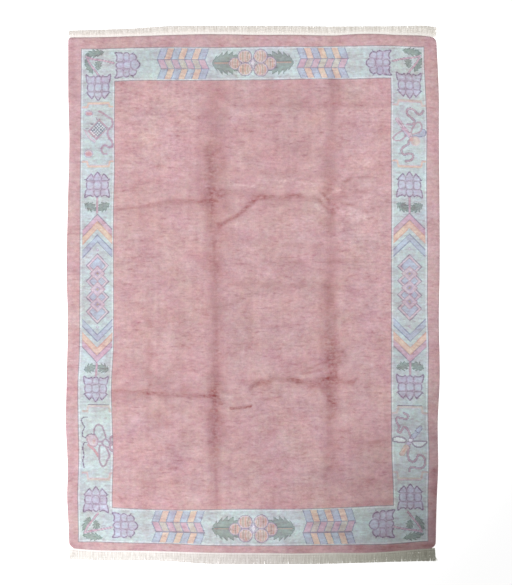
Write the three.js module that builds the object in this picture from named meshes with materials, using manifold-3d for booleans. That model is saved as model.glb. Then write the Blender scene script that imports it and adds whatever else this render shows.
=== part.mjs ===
// Nepalese hand-knotted wool rug lying flat, with a woven heading and a warp fringe at each end.
// Millimetres. X runs across the rug, Y along it, Z up from the floor, origin under the middle.
import * as THREE from 'three';
import { mergeVertices } from 'three/addons/utils/BufferGeometryUtils.js';
import Module from 'manifold-3d';

const wasm = await Module();
wasm.setup();

// Driving dimensions of the knotted body.
const HALF_WIDTH = 855;
const HALF_LENGTH = 1192;
const THICKNESS = 12;
const CORNER_ARC_STEPS = 4;
const CORNERS = {
  headLeft: { radius: 14 },
  headRight: { radius: 24 },
  footLeft: { radius: 28 },
  footRight: { radius: 26 },
};

// How far each side stands out past HALF_WIDTH, at stations along the rug.
const SIDE_EDGES = [
  { along: -1192, left: -8, right: -14 },
  { along: -1085, left: -5, right: -12 },
  { along: -920, left: 2, right: -7 },
  { along: -837, left: -1, right: -3 },
  { along: -589, left: 8, right: -4 },
  { along: -423, left: 5, right: 4 },
  { along: -92, left: -1, right: 1 },
  { along: 74, left: 4, right: 4 },
  { along: 405, left: -1, right: 4 },
  { along: 736, left: -8, right: 1 },
  { along: 902, left: -4, right: 1 },
  { along: 1192, left: -3, right: -12 },
];

// How far each end stands out past HALF_LENGTH, and how far its fringe reaches past that.
const END_EDGES = [
  { across: -855, head: -11, foot: -22, headReach: 33, footReach: 52 },
  { across: -715, head: -10, foot: -12, headReach: 36, footReach: 47 },
  { across: -548, head: -5, foot: -10, headReach: 37, footReach: 45 },
  { across: -382, head: 0, foot: -6, headReach: 43, footReach: 46 },
  { across: -216, head: 4, foot: -1, headReach: 40, footReach: 52 },
  { across: 32, head: 1, foot: 1, headReach: 44, footReach: 52 },
  { across: 198, head: 1, foot: 3, headReach: 42, footReach: 50 },
  { across: 363, head: -2, foot: 0, headReach: 43, footReach: 51 },
  { across: 529, head: 6, foot: 0, headReach: 36, footReach: 46 },
  { across: 694, head: 0, foot: -11, headReach: 43, footReach: 52 },
  { across: 777, head: -2, foot: -18, headReach: 47, footReach: 57 },
  { across: 855, head: -10, foot: -22, headReach: 47, footReach: 60 },
];

// Rounded edge of the pile, from the top outwards and down to the floor.
const SHOULDER = [
  { inset: 10, drop: 0.7 },
  { inset: 2.5, drop: 3 },
  { inset: 0, drop: 7 },
  { inset: 0, drop: THICKNESS },
];
const TOP_INSET = 30;

// Creases that folding has left in the pile: two lengthwise and two across.
const LENGTH_FOLDS = [
  [
    { at: -1192, line: -171, depth: 1 },
    { at: -1000, line: -171, depth: 2 },
    { at: -700, line: -171, depth: 3.4 },
    { at: -470, line: -172, depth: 4.5 },
    { at: -300, line: -162, depth: 3.4 },
    { at: 0, line: -162, depth: 2.6 },
    { at: 290, line: -175, depth: 2.4 },
    { at: 470, line: -184, depth: 4 },
    { at: 690, line: -175, depth: 2 },
    { at: 900, line: -161, depth: 2.2 },
    { at: 1192, line: -163, depth: 1.4 },
  ],
  [
    { at: -1192, line: 363, depth: 1 },
    { at: -1000, line: 363, depth: 1.5 },
    { at: -700, line: 365, depth: 2.5 },
    { at: -470, line: 370, depth: 3.5 },
    { at: -300, line: 377, depth: 4 },
    { at: 0, line: 366, depth: 2.6 },
    { at: 290, line: 374, depth: 3 },
    { at: 470, line: 375, depth: 2 },
    { at: 900, line: 380, depth: 3 },
    { at: 1192, line: 380, depth: 1.4 },
  ],
];
const WIDTH_FOLDS = [
  [
    { at: -855, line: -460, depth: 0.8 },
    { at: -640, line: -460, depth: 1.6 },
    { at: -480, line: -457, depth: 3 },
    { at: -300, line: -464, depth: 4 },
    { at: -200, line: -462, depth: 4.8 },
    { at: -100, line: -440, depth: 3 },
    { at: 70, line: -412, depth: 3 },
    { at: 250, line: -392, depth: 3 },
    { at: 380, line: -350, depth: 4 },
    { at: 500, line: -332, depth: 3 },
    { at: 640, line: -330, depth: 1.2 },
    { at: 855, line: -330, depth: 0.6 },
  ],
  [
    { at: -855, line: 393, depth: 0.6 },
    { at: -640, line: 393, depth: 1.2 },
    { at: -560, line: 396, depth: 3 },
    { at: -390, line: 412, depth: 2.6 },
    { at: -210, line: 426, depth: 3.5 },
    { at: -20, line: 430, depth: 2.2 },
    { at: 70, line: 441, depth: 3.4 },
    { at: 250, line: 448, depth: 3 },
    { at: 380, line: 460, depth: 3 },
    { at: 500, line: 455, depth: 1.6 },
    { at: 640, line: 445, depth: 1 },
    { at: 855, line: 440, depth: 0.5 },
  ],
];
const FOLD_HALF_WIDTH = 24;
const FOLD_LIP = 0.35;
const FOLD_LIP_OFFSET = 1.9;

// Slow swell of the pile between the creases.
const SWELL_HEIGHT = 0.5;
const SWELL_WAVE_ACROSS = 610;
const SWELL_WAVE_ALONG = 740;

// Grid of the top: fine lines beside each crease, wide ones between.
const FOLD_GRID_OFFSETS = [-66, -45, -27, -13, 0, 13, 27, 45, 66];
const GRID_STEP = 82;

// Underside: one flat rectangle in the middle of a ring that follows the outline.
const SOLE_HALF_WIDTH = 700;
const SOLE_HALF_LENGTH = 1000;

// Heading strips and fringe strands.
const SEAM_GAP = 0.3;
const STRIP_THICKNESS = 3;
const STRIP_END_INSET = 5;
const STRANDS_PER_END = 140;
const STRAND_ROOT_DEPTH = 4;
const STRAND_HEIGHT = { root: 2.8, middle: 2.6, tip: 1.7 };
const STRAND_WIDTH = { root: 7, middle: 6.4, tip: 4.2 };
const STRAND_CROWN = 0.5;
const STRAND_UNEVENNESS = 4;
const BUNCH_SIZE = { least: 3, most: 5 };
const BUNCH_GATHER = 0.22;
const BUNCH_LEAN = 3;
const FRINGES = [
  { name: 'head_fringe', end: 'head', side: 1, heading: 14, seed: 11 },
  { name: 'foot_fringe', end: 'foot', side: -1, heading: 20, seed: 23 },
];

// Colours and finish.
const pileMaterial = new THREE.MeshStandardMaterial({ color: 0xc9a3a7, roughness: 0.95, metalness: 0 });
const warpMaterial = new THREE.MeshStandardMaterial({ color: 0xe9e1d6, roughness: 0.9, metalness: 0 });

// Smooth curve through one column of a table.
function curveThrough(table, key, column) {
  const stations = table.map((row) => row[key]);
  const values = table.map((row) => row[column]);
  const spline = new THREE.CubicInterpolant(stations, values, 1);
  const first = stations[0];
  const last = stations[stations.length - 1];
  return (at) => spline.evaluate(THREE.MathUtils.clamp(at, first, last))[0];
}

const leftBulge = curveThrough(SIDE_EDGES, 'along', 'left');
const rightBulge = curveThrough(SIDE_EDGES, 'along', 'right');
const headBulge = curveThrough(END_EDGES, 'across', 'head');
const footBulge = curveThrough(END_EDGES, 'across', 'foot');

// Edges of the body before its corners are rounded.
const leftEdge = (y) => -HALF_WIDTH - leftBulge(y);
const rightEdge = (y) => HALF_WIDTH + rightBulge(y);
const headEdge = (x) => HALF_LENGTH + headBulge(x);
const footEdge = (x) => -HALF_LENGTH - footBulge(x);

// Height lost or gained across one crease.
function creaseHeight(distance, depth) {
  const groove = Math.exp(-((distance / FOLD_HALF_WIDTH) ** 2));
  const fromLip = Math.abs(distance) / FOLD_HALF_WIDTH - FOLD_LIP_OFFSET;
  return depth * (FOLD_LIP * Math.exp(-(fromLip ** 2)) - groove);
}

function foldCurves(table) {
  return { line: curveThrough(table, 'at', 'line'), depth: curveThrough(table, 'at', 'depth') };
}

const lengthFolds = LENGTH_FOLDS.map(foldCurves);
const widthFolds = WIDTH_FOLDS.map(foldCurves);

function topHeight(x, y) {
  const wave = Math.sin((2 * Math.PI * x) / SWELL_WAVE_ACROSS + y / SWELL_WAVE_ALONG);
  const cross = Math.cos((2 * Math.PI * y) / SWELL_WAVE_ALONG - x / SWELL_WAVE_ACROSS);
  let height = THICKNESS + SWELL_HEIGHT * wave * cross;
  for (const fold of lengthFolds) {
    height += creaseHeight(x - fold.line(y), fold.depth(y));
  }
  for (const fold of widthFolds) {
    height += creaseHeight(y - fold.line(x), fold.depth(x));
  }
  return height;
}

// Lines of a grid between two edges that keep beside the folds between them.
function gridLines(startEdge, folds, endEdge) {
  const lines = [startEdge];
  const fillTo = (target) => {
    const from = lines[lines.length - 1];
    const count = Math.max(1, Math.round((target(0) - from(0)) / GRID_STEP));
    for (let k = 1; k < count; k += 1) {
      lines.push((t) => THREE.MathUtils.lerp(from(t), target(t), k / count));
    }
    lines.push(target);
  };
  for (const fold of folds) {
    const [firstOffset, ...laterOffsets] = FOLD_GRID_OFFSETS;
    fillTo((t) => fold.line(t) + firstOffset);
    for (const offset of laterOffsets) {
      lines.push((t) => fold.line(t) + offset);
    }
  }
  fillTo(endEdge);
  return lines;
}

// Place where a lengthwise grid line and a crosswise grid line meet.
function crossing(column, row) {
  let x = column(0);
  let y = row(x);
  for (let pass = 0; pass < 3; pass += 1) {
    x = column(y);
    y = row(x);
  }
  return { x, y };
}

// Points of a rounded corner, from one edge round to the next, anticlockwise.
function cornerArc(cornerX, cornerY, outX, outY, radius) {
  const centreX = cornerX - outX * radius;
  const centreY = cornerY - outY * radius;
  const middleAngle = Math.atan2(outY, outX);
  const points = [];
  for (let k = 0; k <= CORNER_ARC_STEPS; k += 1) {
    const angle = middleAngle + (k / CORNER_ARC_STEPS - 0.5) * (Math.PI / 2);
    points.push({ x: centreX + radius * Math.cos(angle), y: centreY + radius * Math.sin(angle) });
  }
  return points;
}

// Spokes from the top grid's rim out to the outline, anticlockwise seen from above.
function rimSpokes() {
  const lastColumn = columns.length - 1;
  const lastRow = rows.length - 1;
  const list = [];
  const vertex = (i, j) => j * columns.length + i;
  const addSide = (i, j, outer) => list.push({ inner: vertex(i, j), ...outer });
  const addCorner = (i, j, outX, outY, radius) => {
    const inner = grid[vertex(i, j)];
    const cornerX = outX > 0 ? rightEdge(inner.y) : leftEdge(inner.y);
    const cornerY = outY > 0 ? headEdge(inner.x) : footEdge(inner.x);
    for (const point of cornerArc(cornerX, cornerY, outX, outY, radius)) {
      list.push({ inner: vertex(i, j), ...point });
    }
  };
  for (let i = 0; i <= lastColumn; i += 1) {
    const { x } = grid[vertex(i, 0)];
    addSide(i, 0, { x, y: footEdge(x) });
  }
  addCorner(lastColumn, 0, 1, -1, CORNERS.footRight.radius);
  for (let j = 0; j <= lastRow; j += 1) {
    const { y } = grid[vertex(lastColumn, j)];
    addSide(lastColumn, j, { x: rightEdge(y), y });
  }
  addCorner(lastColumn, lastRow, 1, 1, CORNERS.headRight.radius);
  for (let i = lastColumn; i >= 0; i -= 1) {
    const { x } = grid[vertex(i, lastRow)];
    addSide(i, lastRow, { x, y: headEdge(x) });
  }
  addCorner(0, lastRow, -1, 1, CORNERS.headLeft.radius);
  for (let j = lastRow; j >= 0; j -= 1) {
    const { y } = grid[vertex(0, j)];
    addSide(0, j, { x: leftEdge(y), y });
  }
  addCorner(0, 0, -1, -1, CORNERS.footLeft.radius);
  return list;
}

// Columns, rows and crossings of the top's grid.
const columns = gridLines(
  (y) => leftEdge(y) + TOP_INSET, lengthFolds, (y) => rightEdge(y) - TOP_INSET,
);
const rows = gridLines(
  (x) => footEdge(x) + TOP_INSET, widthFolds, (x) => headEdge(x) - TOP_INSET,
);
const grid = rows.flatMap((row) => columns.map((column) => crossing(column, row)));
const spokes = rimSpokes();

// Knotted body: creased top, rounded edges and a flat underside, in one closed solid.
function rugBody() {
  const positions = [];
  const triangles = [];
  const addPoint = (x, y, z) => positions.push(x, y, z) / 3 - 1;
  const addTriangle = (a, b, c) => {
    if (a !== b && b !== c && c !== a) {
      triangles.push(a, b, c);
    }
  };

  for (const { x, y } of grid) {
    addPoint(x, y, topHeight(x, y));
  }
  for (let j = 0; j < rows.length - 1; j += 1) {
    for (let i = 0; i < columns.length - 1; i += 1) {
      const corner = j * columns.length + i;
      const above = corner + columns.length;
      addTriangle(corner, corner + 1, above + 1);
      addTriangle(corner, above + 1, above);
    }
  }

  let upperRing = spokes.map((spoke) => spoke.inner);
  for (const { inset, drop } of SHOULDER) {
    const ring = spokes.map((spoke) => {
      const inner = grid[spoke.inner];
      const reach = Math.hypot(spoke.x - inner.x, spoke.y - inner.y);
      const share = 1 - inset / reach;
      const x = THREE.MathUtils.lerp(inner.x, spoke.x, share);
      const y = THREE.MathUtils.lerp(inner.y, spoke.y, share);
      const z = drop < THICKNESS ? topHeight(x, y) - drop : 0;
      return addPoint(x, y, z);
    });
    for (let s = 0; s < spokes.length; s += 1) {
      const next = (s + 1) % spokes.length;
      addTriangle(upperRing[s], ring[s], ring[next]);
      addTriangle(upperRing[s], ring[next], upperRing[next]);
    }
    upperRing = ring;
  }

  const sole = [
    [-SOLE_HALF_WIDTH, -SOLE_HALF_LENGTH],
    [SOLE_HALF_WIDTH, -SOLE_HALF_LENGTH],
    [SOLE_HALF_WIDTH, SOLE_HALF_LENGTH],
    [-SOLE_HALF_WIDTH, SOLE_HALF_LENGTH],
  ];
  const soleRing = sole.map(([x, y]) => addPoint(x, y, 0));
  addTriangle(soleRing[0], soleRing[2], soleRing[1]);
  addTriangle(soleRing[0], soleRing[3], soleRing[2]);
  const outline = upperRing.map((index) => (
    new THREE.Vector2(positions[3 * index], positions[3 * index + 1])
  ));
  const hole = sole.map(([x, y]) => new THREE.Vector2(x, y)).reverse();
  const holeRing = [...soleRing].reverse();
  const ringPoints = [...outline, ...hole];
  const ringVertices = [...upperRing, ...holeRing];
  for (const [a, b, c] of THREE.ShapeUtils.triangulateShape(outline, [hole])) {
    const area = THREE.ShapeUtils.area([ringPoints[a], ringPoints[b], ringPoints[c]]);
    const [p, q, r] = [ringVertices[a], ringVertices[b], ringVertices[c]];
    if (area > 0) {
      addTriangle(p, r, q);
    } else {
      addTriangle(p, q, r);
    }
  }

  const geometry = new THREE.BufferGeometry();
  geometry.setAttribute('position', new THREE.Float32BufferAttribute(positions, 3));
  geometry.setIndex(triangles);
  return geometry;
}

// Repeatable draws between 0 and 1.
function seededDraws(seed) {
  let state = seed;
  return () => {
    state = (Math.imul(state, 1664525) + 1013904223) >>> 0;
    return state / 2 ** 32;
  };
}

// Outline of one end of the body, from left to right, a seam gap outside the pile.
function seamLine(side) {
  const points = spokes.map((spoke, s) => {
    const before = spokes[(s + spokes.length - 1) % spokes.length];
    const after = spokes[(s + 1) % spokes.length];
    const length = Math.hypot(after.x - before.x, after.y - before.y);
    const x = spoke.x + (SEAM_GAP * (after.y - before.y)) / length;
    const y = spoke.y - (SEAM_GAP * (after.x - before.x)) / length;
    return { x, y };
  });
  const alongEnd = side * HALF_LENGTH;
  const from = leftEdge(alongEnd) + STRIP_END_INSET;
  const to = rightEdge(alongEnd) - STRIP_END_INSET;
  return points
    .filter(({ x, y }) => x > from && x < to && side * y > HALF_LENGTH - TOP_INSET)
    .sort((a, b) => a.x - b.x);
}

function solidFrom(geometry) {
  const plain = geometry.clone();
  plain.deleteAttribute('normal');
  plain.deleteAttribute('uv');
  const merged = mergeVertices(plain, 1e-4);
  return new wasm.Manifold(new wasm.Mesh({
    numProp: 3,
    vertProperties: new Float32Array(merged.attributes.position.array),
    triVerts: new Uint32Array(merged.index.array),
  }));
}

function geometryFrom(solid) {
  const mesh = solid.getMesh();
  const geometry = new THREE.BufferGeometry();
  geometry.setAttribute('position', new THREE.BufferAttribute(mesh.vertProperties, 3));
  geometry.setIndex(new THREE.BufferAttribute(mesh.triVerts, 1));
  return geometry;
}

// Strip of plain weave past the pile, along its end edge.
function headingStrip(fringe, endEdge, seam) {
  const outer = seam.map(({ x }) => ({ x, y: endEdge(x) + fringe.side * fringe.heading }));
  const loop = [...seam, ...outer.reverse()].map(({ x, y }) => new THREE.Vector2(x, y));
  const shape = new THREE.Shape(loop);
  return new THREE.ExtrudeGeometry(shape, { depth: STRIP_THICKNESS, bevelEnabled: false });
}

// One strand of warp lying on the floor: four-sided, bent once, narrower at its tip.
function strandGeometry(sections) {
  const positions = [];
  const triangles = [];
  for (const { x, y, width, height } of sections) {
    const crown = width * STRAND_CROWN;
    positions.push(x - width / 2, y, 0, x + width / 2, y, 0);
    positions.push(x + crown / 2, y, height, x - crown / 2, y, height);
  }
  const forward = sections[sections.length - 1].y > sections[0].y;
  const add = (a, b, c) => triangles.push(...(forward ? [a, b, c] : [a, c, b]));
  for (let k = 0; k < sections.length - 1; k += 1) {
    for (let side = 0; side < 4; side += 1) {
      const a = 4 * k + side;
      const b = 4 * k + ((side + 1) % 4);
      add(a, a + 4, b);
      add(b, a + 4, b + 4);
    }
  }
  const last = 4 * (sections.length - 1);
  add(0, 1, 2);
  add(0, 2, 3);
  add(last, last + 2, last + 1);
  add(last, last + 3, last + 2);
  const geometry = new THREE.BufferGeometry();
  geometry.setAttribute('position', new THREE.Float32BufferAttribute(positions, 3));
  geometry.setIndex(triangles);
  return geometry;
}

// Heading strip with its strands, which lean together in small bunches and never touch.
function fringeGeometry(fringe) {
  const endEdge = fringe.end === 'head' ? headEdge : footEdge;
  const reachAt = curveThrough(END_EDGES, 'across', `${fringe.end}Reach`);
  const seam = seamLine(fringe.side);
  const from = seam[0].x;
  const pitch = (seam[seam.length - 1].x - from) / STRANDS_PER_END;
  const draw = seededDraws(fringe.seed);
  let solid = solidFrom(headingStrip(fringe, endEdge, seam));
  let strand = 0;
  while (strand < STRANDS_PER_END) {
    const spread = BUNCH_SIZE.most - BUNCH_SIZE.least + 1;
    const wanted = BUNCH_SIZE.least + Math.floor(draw() * spread);
    const count = Math.min(wanted, STRANDS_PER_END - strand);
    const bunchCentre = from + (strand + count / 2) * pitch;
    const lean = (2 * draw() - 1) * BUNCH_LEAN;
    for (let k = 0; k < count; k += 1) {
      const rootX = from + (strand + k + 0.5) * pitch;
      const tipX = rootX + (bunchCentre - rootX) * BUNCH_GATHER + lean;
      const middleX = rootX + (tipX - rootX) * (0.25 + 0.4 * draw());
      const edge = endEdge(rootX);
      const rootY = edge + fringe.side * (fringe.heading - STRAND_ROOT_DEPTH);
      const reach = reachAt(rootX) + (2 * draw() - 1) * STRAND_UNEVENNESS;
      const tipY = edge + fringe.side * reach;
      const middleY = THREE.MathUtils.lerp(rootY, tipY, 0.55);
      solid = solid.add(solidFrom(strandGeometry([
        { x: rootX, y: rootY, width: STRAND_WIDTH.root, height: STRAND_HEIGHT.root },
        { x: middleX, y: middleY, width: STRAND_WIDTH.middle, height: STRAND_HEIGHT.middle },
        { x: tipX, y: tipY, width: STRAND_WIDTH.tip, height: STRAND_HEIGHT.tip },
      ])));
    }
    strand += count;
  }
  return geometryFrom(solid);
}

const rug = new THREE.Group();
const body = new THREE.Mesh(rugBody(), pileMaterial);
body.name = 'rug_body';
rug.add(body);
for (const fringe of FRINGES) {
  const mesh = new THREE.Mesh(fringeGeometry(fringe), warpMaterial);
  mesh.name = fringe.name;
  rug.add(mesh);
}

// The origin is under the middle of the whole rug, fringe and all.
const middle = new THREE.Box3().setFromObject(rug).getCenter(new THREE.Vector3());
for (const mesh of rug.children) {
  mesh.position.set(-middle.x, -middle.y, 0);
  mesh.geometry.computeVertexNormals();
}

export default rug;
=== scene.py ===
# %% [markdown]
# A hand-knotted wool rug from the Nepalese looms, lying flat, seen from straight above.
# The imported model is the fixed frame: it says where the knotted body and the two fringes are.
# Everything below dresses that frame. Lengths are metres, X across, Y along, Z up.

import math

import bpy
import numpy as np
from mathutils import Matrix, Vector


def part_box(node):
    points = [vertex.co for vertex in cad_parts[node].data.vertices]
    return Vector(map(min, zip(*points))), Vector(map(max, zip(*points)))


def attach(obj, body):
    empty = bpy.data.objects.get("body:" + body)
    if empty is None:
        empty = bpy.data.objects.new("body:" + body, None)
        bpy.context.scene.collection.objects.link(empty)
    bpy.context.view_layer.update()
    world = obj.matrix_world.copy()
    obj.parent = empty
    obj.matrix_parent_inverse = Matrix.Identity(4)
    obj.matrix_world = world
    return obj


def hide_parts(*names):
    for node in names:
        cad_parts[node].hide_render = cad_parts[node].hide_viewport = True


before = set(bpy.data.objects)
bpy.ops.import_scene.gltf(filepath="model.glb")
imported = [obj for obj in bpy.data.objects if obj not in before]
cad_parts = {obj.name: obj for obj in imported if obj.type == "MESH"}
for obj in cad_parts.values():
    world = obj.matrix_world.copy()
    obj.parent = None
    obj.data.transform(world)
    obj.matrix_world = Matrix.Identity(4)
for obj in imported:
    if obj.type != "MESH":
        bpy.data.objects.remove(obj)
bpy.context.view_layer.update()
MM = 0.001

# %% [markdown]
# The photograph was taken from straight above, and one pixel of it is 4.6 mm of rug. That one
# measure ties every place read off the photograph to a real place on the rug. A function does
# the sum, so a place can stay in the photograph's own pixels where that is easier to check.

# %% Scale of the photograph
PHOTO_WIDTH = 512
PHOTO_HEIGHT = 585
PIXEL = 4.6 * MM
RUG_MIDDLE_PIXEL = (253.05, 294.0)


def at_photo(px, py):
    """Place on the rug, before the frame's own shift, under a pixel of the photograph."""
    return (px - RUG_MIDDLE_PIXEL[0]) * PIXEL, (RUG_MIDDLE_PIXEL[1] - py) * PIXEL


print("the photograph covers, m", PHOTO_WIDTH * PIXEL, "by", PHOTO_HEIGHT * PIXEL)

# %% [markdown]
# The rug's real outline isn't straight: the loom, the washing and the folding have left its sides
# a few millimetres in and out. The same short tables as the solid's give its sides and ends, and
# a second pair gives the lines of the border, which wander in their own way.

# %% Outline tables, in millimetres
HALF_WIDTH = 855
HALF_LENGTH = 1192
SIDE_EDGES = dict(
    along=[-1192, -1085, -920, -837, -589, -423, -92, 74, 405, 736, 902, 1192],
    left=[-8, -5, 2, -1, 8, 5, -1, 4, -1, -8, -4, -3],
    right=[-14, -12, -7, -3, -4, 4, 1, 4, 4, 1, 1, -12],
)
END_EDGES = dict(
    across=[-855, -715, -548, -382, -216, 32, 198, 363, 529, 694, 777, 855],
    head=[-11, -10, -5, 0, 4, 1, 1, -2, 6, 0, -2, -10],
    foot=[-22, -12, -10, -6, -1, 1, 3, 0, 0, -11, -18, -22],
    head_reach=[33, 36, 37, 43, 40, 44, 42, 43, 36, 43, 47, 47],
    foot_reach=[52, 47, 45, 46, 52, 52, 50, 51, 46, 52, 57, 60],
)
SIDE_LINES = dict(
    along=[-1086, -920, -754, -589, -423, -258, -92, 156, 405, 570, 736, 902, 1067],
    left_guard=[5, 8, 3, 6, 7.5, 0, -1, -2, -3, -3.5, -6, -7, -9],
    left_field=[7, 8.5, 4, 8.5, 12, 3.5, 2, 3, 2.5, -2, -1, -2.5, -3],
    right_field=[6, 6, -1, -2.5, -4, -3, -3, -3, -2, -3, -5, -4, -8],
    right_guard=[6.6, 6.6, 11, 6.6, 7, 9, 4, 4, 1, 0, 1.5, -3.5, -12],
)
END_LINES = dict(
    across=[-713, -548, -382, -216, -51, 115, 280, 446, 612, 777],
    head_guard=[-9, -4, -1, -2, -1, 2, 1, 4, 6, 0],
    head_field=[-12, -3, -3, -3, -1, 0, 4, 3, 8, 0],
    foot_field=[-7, 2, 8, 7, 4, 4, 2, -5, -13, -13],
    foot_guard=[-8, -3, 0, 8, 10, 10, 8, 6, 3, -11],
)
CORNER_RADII = dict(head_left=14, head_right=24, foot_left=28, foot_right=26)
print("pile, mm", 2 * HALF_WIDTH, "by", 2 * HALF_LENGTH)


# %% Smooth curve through a table
def curve_through(stations, values):
    """Smooth curve through a table's column, in metres, flat beyond its ends."""
    stations = np.array(stations, float) * MM
    values = np.array(values, float) * MM
    slopes = np.gradient(values, stations)

    def at(places):
        places = np.clip(places, stations[0], stations[-1])
        k = np.clip(np.searchsorted(stations, places) - 1, 0, len(stations) - 2)
        step = stations[k + 1] - stations[k]
        t = (places - stations[k]) / step
        rise = t * t * (3 - 2 * t)
        lead = t * (1 - t) ** 2 * slopes[k] - t * t * (1 - t) * slopes[k + 1]
        return values[k] + rise * (values[k + 1] - values[k]) + step * lead

    return at


left_side = curve_through(SIDE_EDGES["along"], SIDE_EDGES["left"])
print("left side stands out at the middle by, mm", float(left_side(0.0)) / MM)

# %% [markdown]
# A knotted rug is a grid. Each knot is one cell, and a designer draws on squared paper. The grid
# here has 496 knots across and 692 rows, some 3.45 mm apart, a usual count for such a rug.
# Six lines each way cut it into guard, border and field. The straight grid is then pulled onto
# the measured lines, so the border's edges follow whole rows of knots, as they do on the loom.

# %% The grid of knots
ACROSS_KNOTS = np.array([0, 16, 64, 432, 480, 496])
ACROSS_PLACES = np.array([-HALF_WIDTH, -800, -638, 638, 800, HALF_WIDTH]) * MM
ALONG_KNOTS = np.array([0, 12, 60, 632, 676, 692])
ALONG_PLACES = np.array([-HALF_LENGTH, -1150, -984, 984, 1138, HALF_LENGTH]) * MM
KNOT = 3.45 * MM
ACROSS_COUNT = int(ACROSS_KNOTS[-1])
ALONG_COUNT = int(ALONG_KNOTS[-1])
print("knots across", ACROSS_COUNT, "rows", ALONG_COUNT)

# %% Lines of the real border
OUTWARD = (-1, -1, -1, 1, 1, 1)


def lines_at(key, places, edges, edge_columns, lines, line_columns):
    """Six lines along their length: pile edge, guard, field, field, guard, pile edge."""
    first, last = [curve_through(edges[key], edges[column]) for column in edge_columns]
    inner = [curve_through(lines[key], lines[column]) for column in line_columns]
    bends = [first, *inner, last]
    return lambda at: np.stack([p + s * b(at) for p, s, b in zip(places, OUTWARD, bends)])


across_lines = lines_at(
    "along", ACROSS_PLACES, SIDE_EDGES, ("left", "right"),
    SIDE_LINES, ("left_guard", "left_field", "right_field", "right_guard"),
)
along_lines = lines_at(
    "across", ALONG_PLACES, END_EDGES, ("foot", "head"),
    END_LINES, ("foot_guard", "foot_field", "head_field", "head_guard"),
)
print("lines across the middle, mm", (across_lines(np.array([0.0]))[:, 0] / MM).round(1))


# %% The grid pulled onto those lines
def pull(knots, knot_lines, real_lines):
    """Real places of grid lines, one row for each place along them."""
    k = np.clip(np.searchsorted(knot_lines, knots, side="right") - 1, 0, len(knot_lines) - 2)
    share = (knots - knot_lines[k]) / (knot_lines[k + 1] - knot_lines[k])
    low = real_lines[k]
    return low + share[:, None] * (real_lines[k + 1] - low)


grid_i = np.arange(ACROSS_COUNT + 1, dtype=float)
grid_j = np.arange(ALONG_COUNT + 1, dtype=float)
straight_x = np.interp(grid_i, ACROSS_KNOTS, ACROSS_PLACES)
straight_y = np.interp(grid_j, ALONG_KNOTS, ALONG_PLACES)
grid_x = pull(grid_i, ACROSS_KNOTS, across_lines(straight_y)).T
grid_y = pull(grid_j, ALONG_KNOTS, along_lines(straight_x))
print("grid points", grid_x.shape)


# %% Rounded corners, and the shift onto the frame
def round_corners(x, y):
    """Draws the square corners of the grid in to arcs."""
    for name, radius in CORNER_RADII.items():
        end, side = name.split("_")
        row = -1 if end == "head" else 0
        column = -1 if side == "right" else 0
        out_x = 1 if side == "right" else -1
        out_y = 1 if end == "head" else -1
        r = radius * MM
        a = out_x * (x - x[row, column]) + r
        b = out_y * (y - y[row, column]) + r
        near = (a > 0) & (b > 0)
        a, b = a[near], b[near]
        draw_in = np.maximum(a, b) / np.hypot(a, b)
        x[near] += out_x * a * (draw_in - 1)
        y[near] += out_y * b * (draw_in - 1)


round_corners(grid_x, grid_y)
low_corner, high_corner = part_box("rug_body")
shift_x = (low_corner[0] + high_corner[0] - grid_x.min() - grid_x.max()) / 2
shift_y = (low_corner[1] + high_corner[1] - grid_y.min() - grid_y.max()) / 2
print("shift onto the frame, mm", shift_x / MM, shift_y / MM)

# %% [markdown]
# The camera looks straight down over the middle of the photograph. A long lens keeps the pile's
# edges from leaning outwards. Its distance follows from the scale: from there the top of the
# pile fills the frame just as it fills the photograph.

# %% Camera over the middle of the photograph
PILE_HEIGHT = 12 * MM
LENS = 70.0
SENSOR = 36.0
camera_data = bpy.data.cameras.new("overhead_camera")
camera_data.lens = LENS
camera_data.sensor_fit = "VERTICAL"
camera_data.sensor_height = SENSOR
camera = bpy.data.objects.new("overhead_camera", camera_data)
bpy.context.collection.objects.link(camera)
centre_x, centre_y = at_photo(PHOTO_WIDTH / 2, PHOTO_HEIGHT / 2)
camera_distance = LENS / SENSOR * PHOTO_HEIGHT * PIXEL
camera.location = (centre_x + shift_x, centre_y + shift_y, PILE_HEIGHT + camera_distance)
bpy.context.scene.camera = camera
print("camera height", camera.location.z)

# %% [markdown]
# The rug has been folded for the road, twice along and twice across. Each fold leaves a soft
# trough with low lips, and the pile parts there; painted shade, laid on further down, darkens
# it too. Short pinches lie beside the folds. Each is a row of a table, and one function turns
# them into height.

# %% Folds
LENGTH_FOLDS = (
    dict(
        at=[-1192, -1000, -700, -470, -300, 0, 290, 470, 690, 900, 1192],
        line=[-171, -171, -171, -172, -162, -162, -175, -184, -175, -161, -163],
        depth=[1, 2, 3.4, 4.5, 3.4, 2.6, 2.4, 4, 2, 2.2, 1.4],
    ),
    dict(
        at=[-1192, -1000, -700, -470, -300, 0, 290, 470, 900, 1192],
        line=[363, 363, 365, 370, 377, 366, 374, 375, 380, 380],
        depth=[1, 1.5, 2.5, 3.5, 4, 2.6, 3, 2, 3, 1.4],
    ),
)
WIDTH_FOLDS = (
    dict(
        at=[-855, -640, -480, -300, -200, -100, 70, 250, 380, 500, 640, 855],
        line=[-460, -460, -457, -464, -462, -440, -412, -392, -350, -332, -330, -330],
        depth=[0.8, 1.6, 3, 4, 4.8, 3, 3, 3, 4, 3, 1.2, 0.6],
    ),
    dict(
        at=[-855, -640, -560, -390, -210, -20, 70, 250, 380, 500, 640, 855],
        line=[393, 393, 396, 412, 426, 430, 441, 448, 460, 455, 445, 440],
        depth=[0.6, 1.2, 3, 2.6, 3.5, 2.2, 3.4, 3, 3, 1.6, 1, 0.5],
    ),
)
FOLD_HALF_WIDTH = 24 * MM
FOLD_LIP = 0.35
FOLD_LIP_OFFSET = 1.9
print("folds", len(LENGTH_FOLDS) + len(WIDTH_FOLDS))


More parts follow.
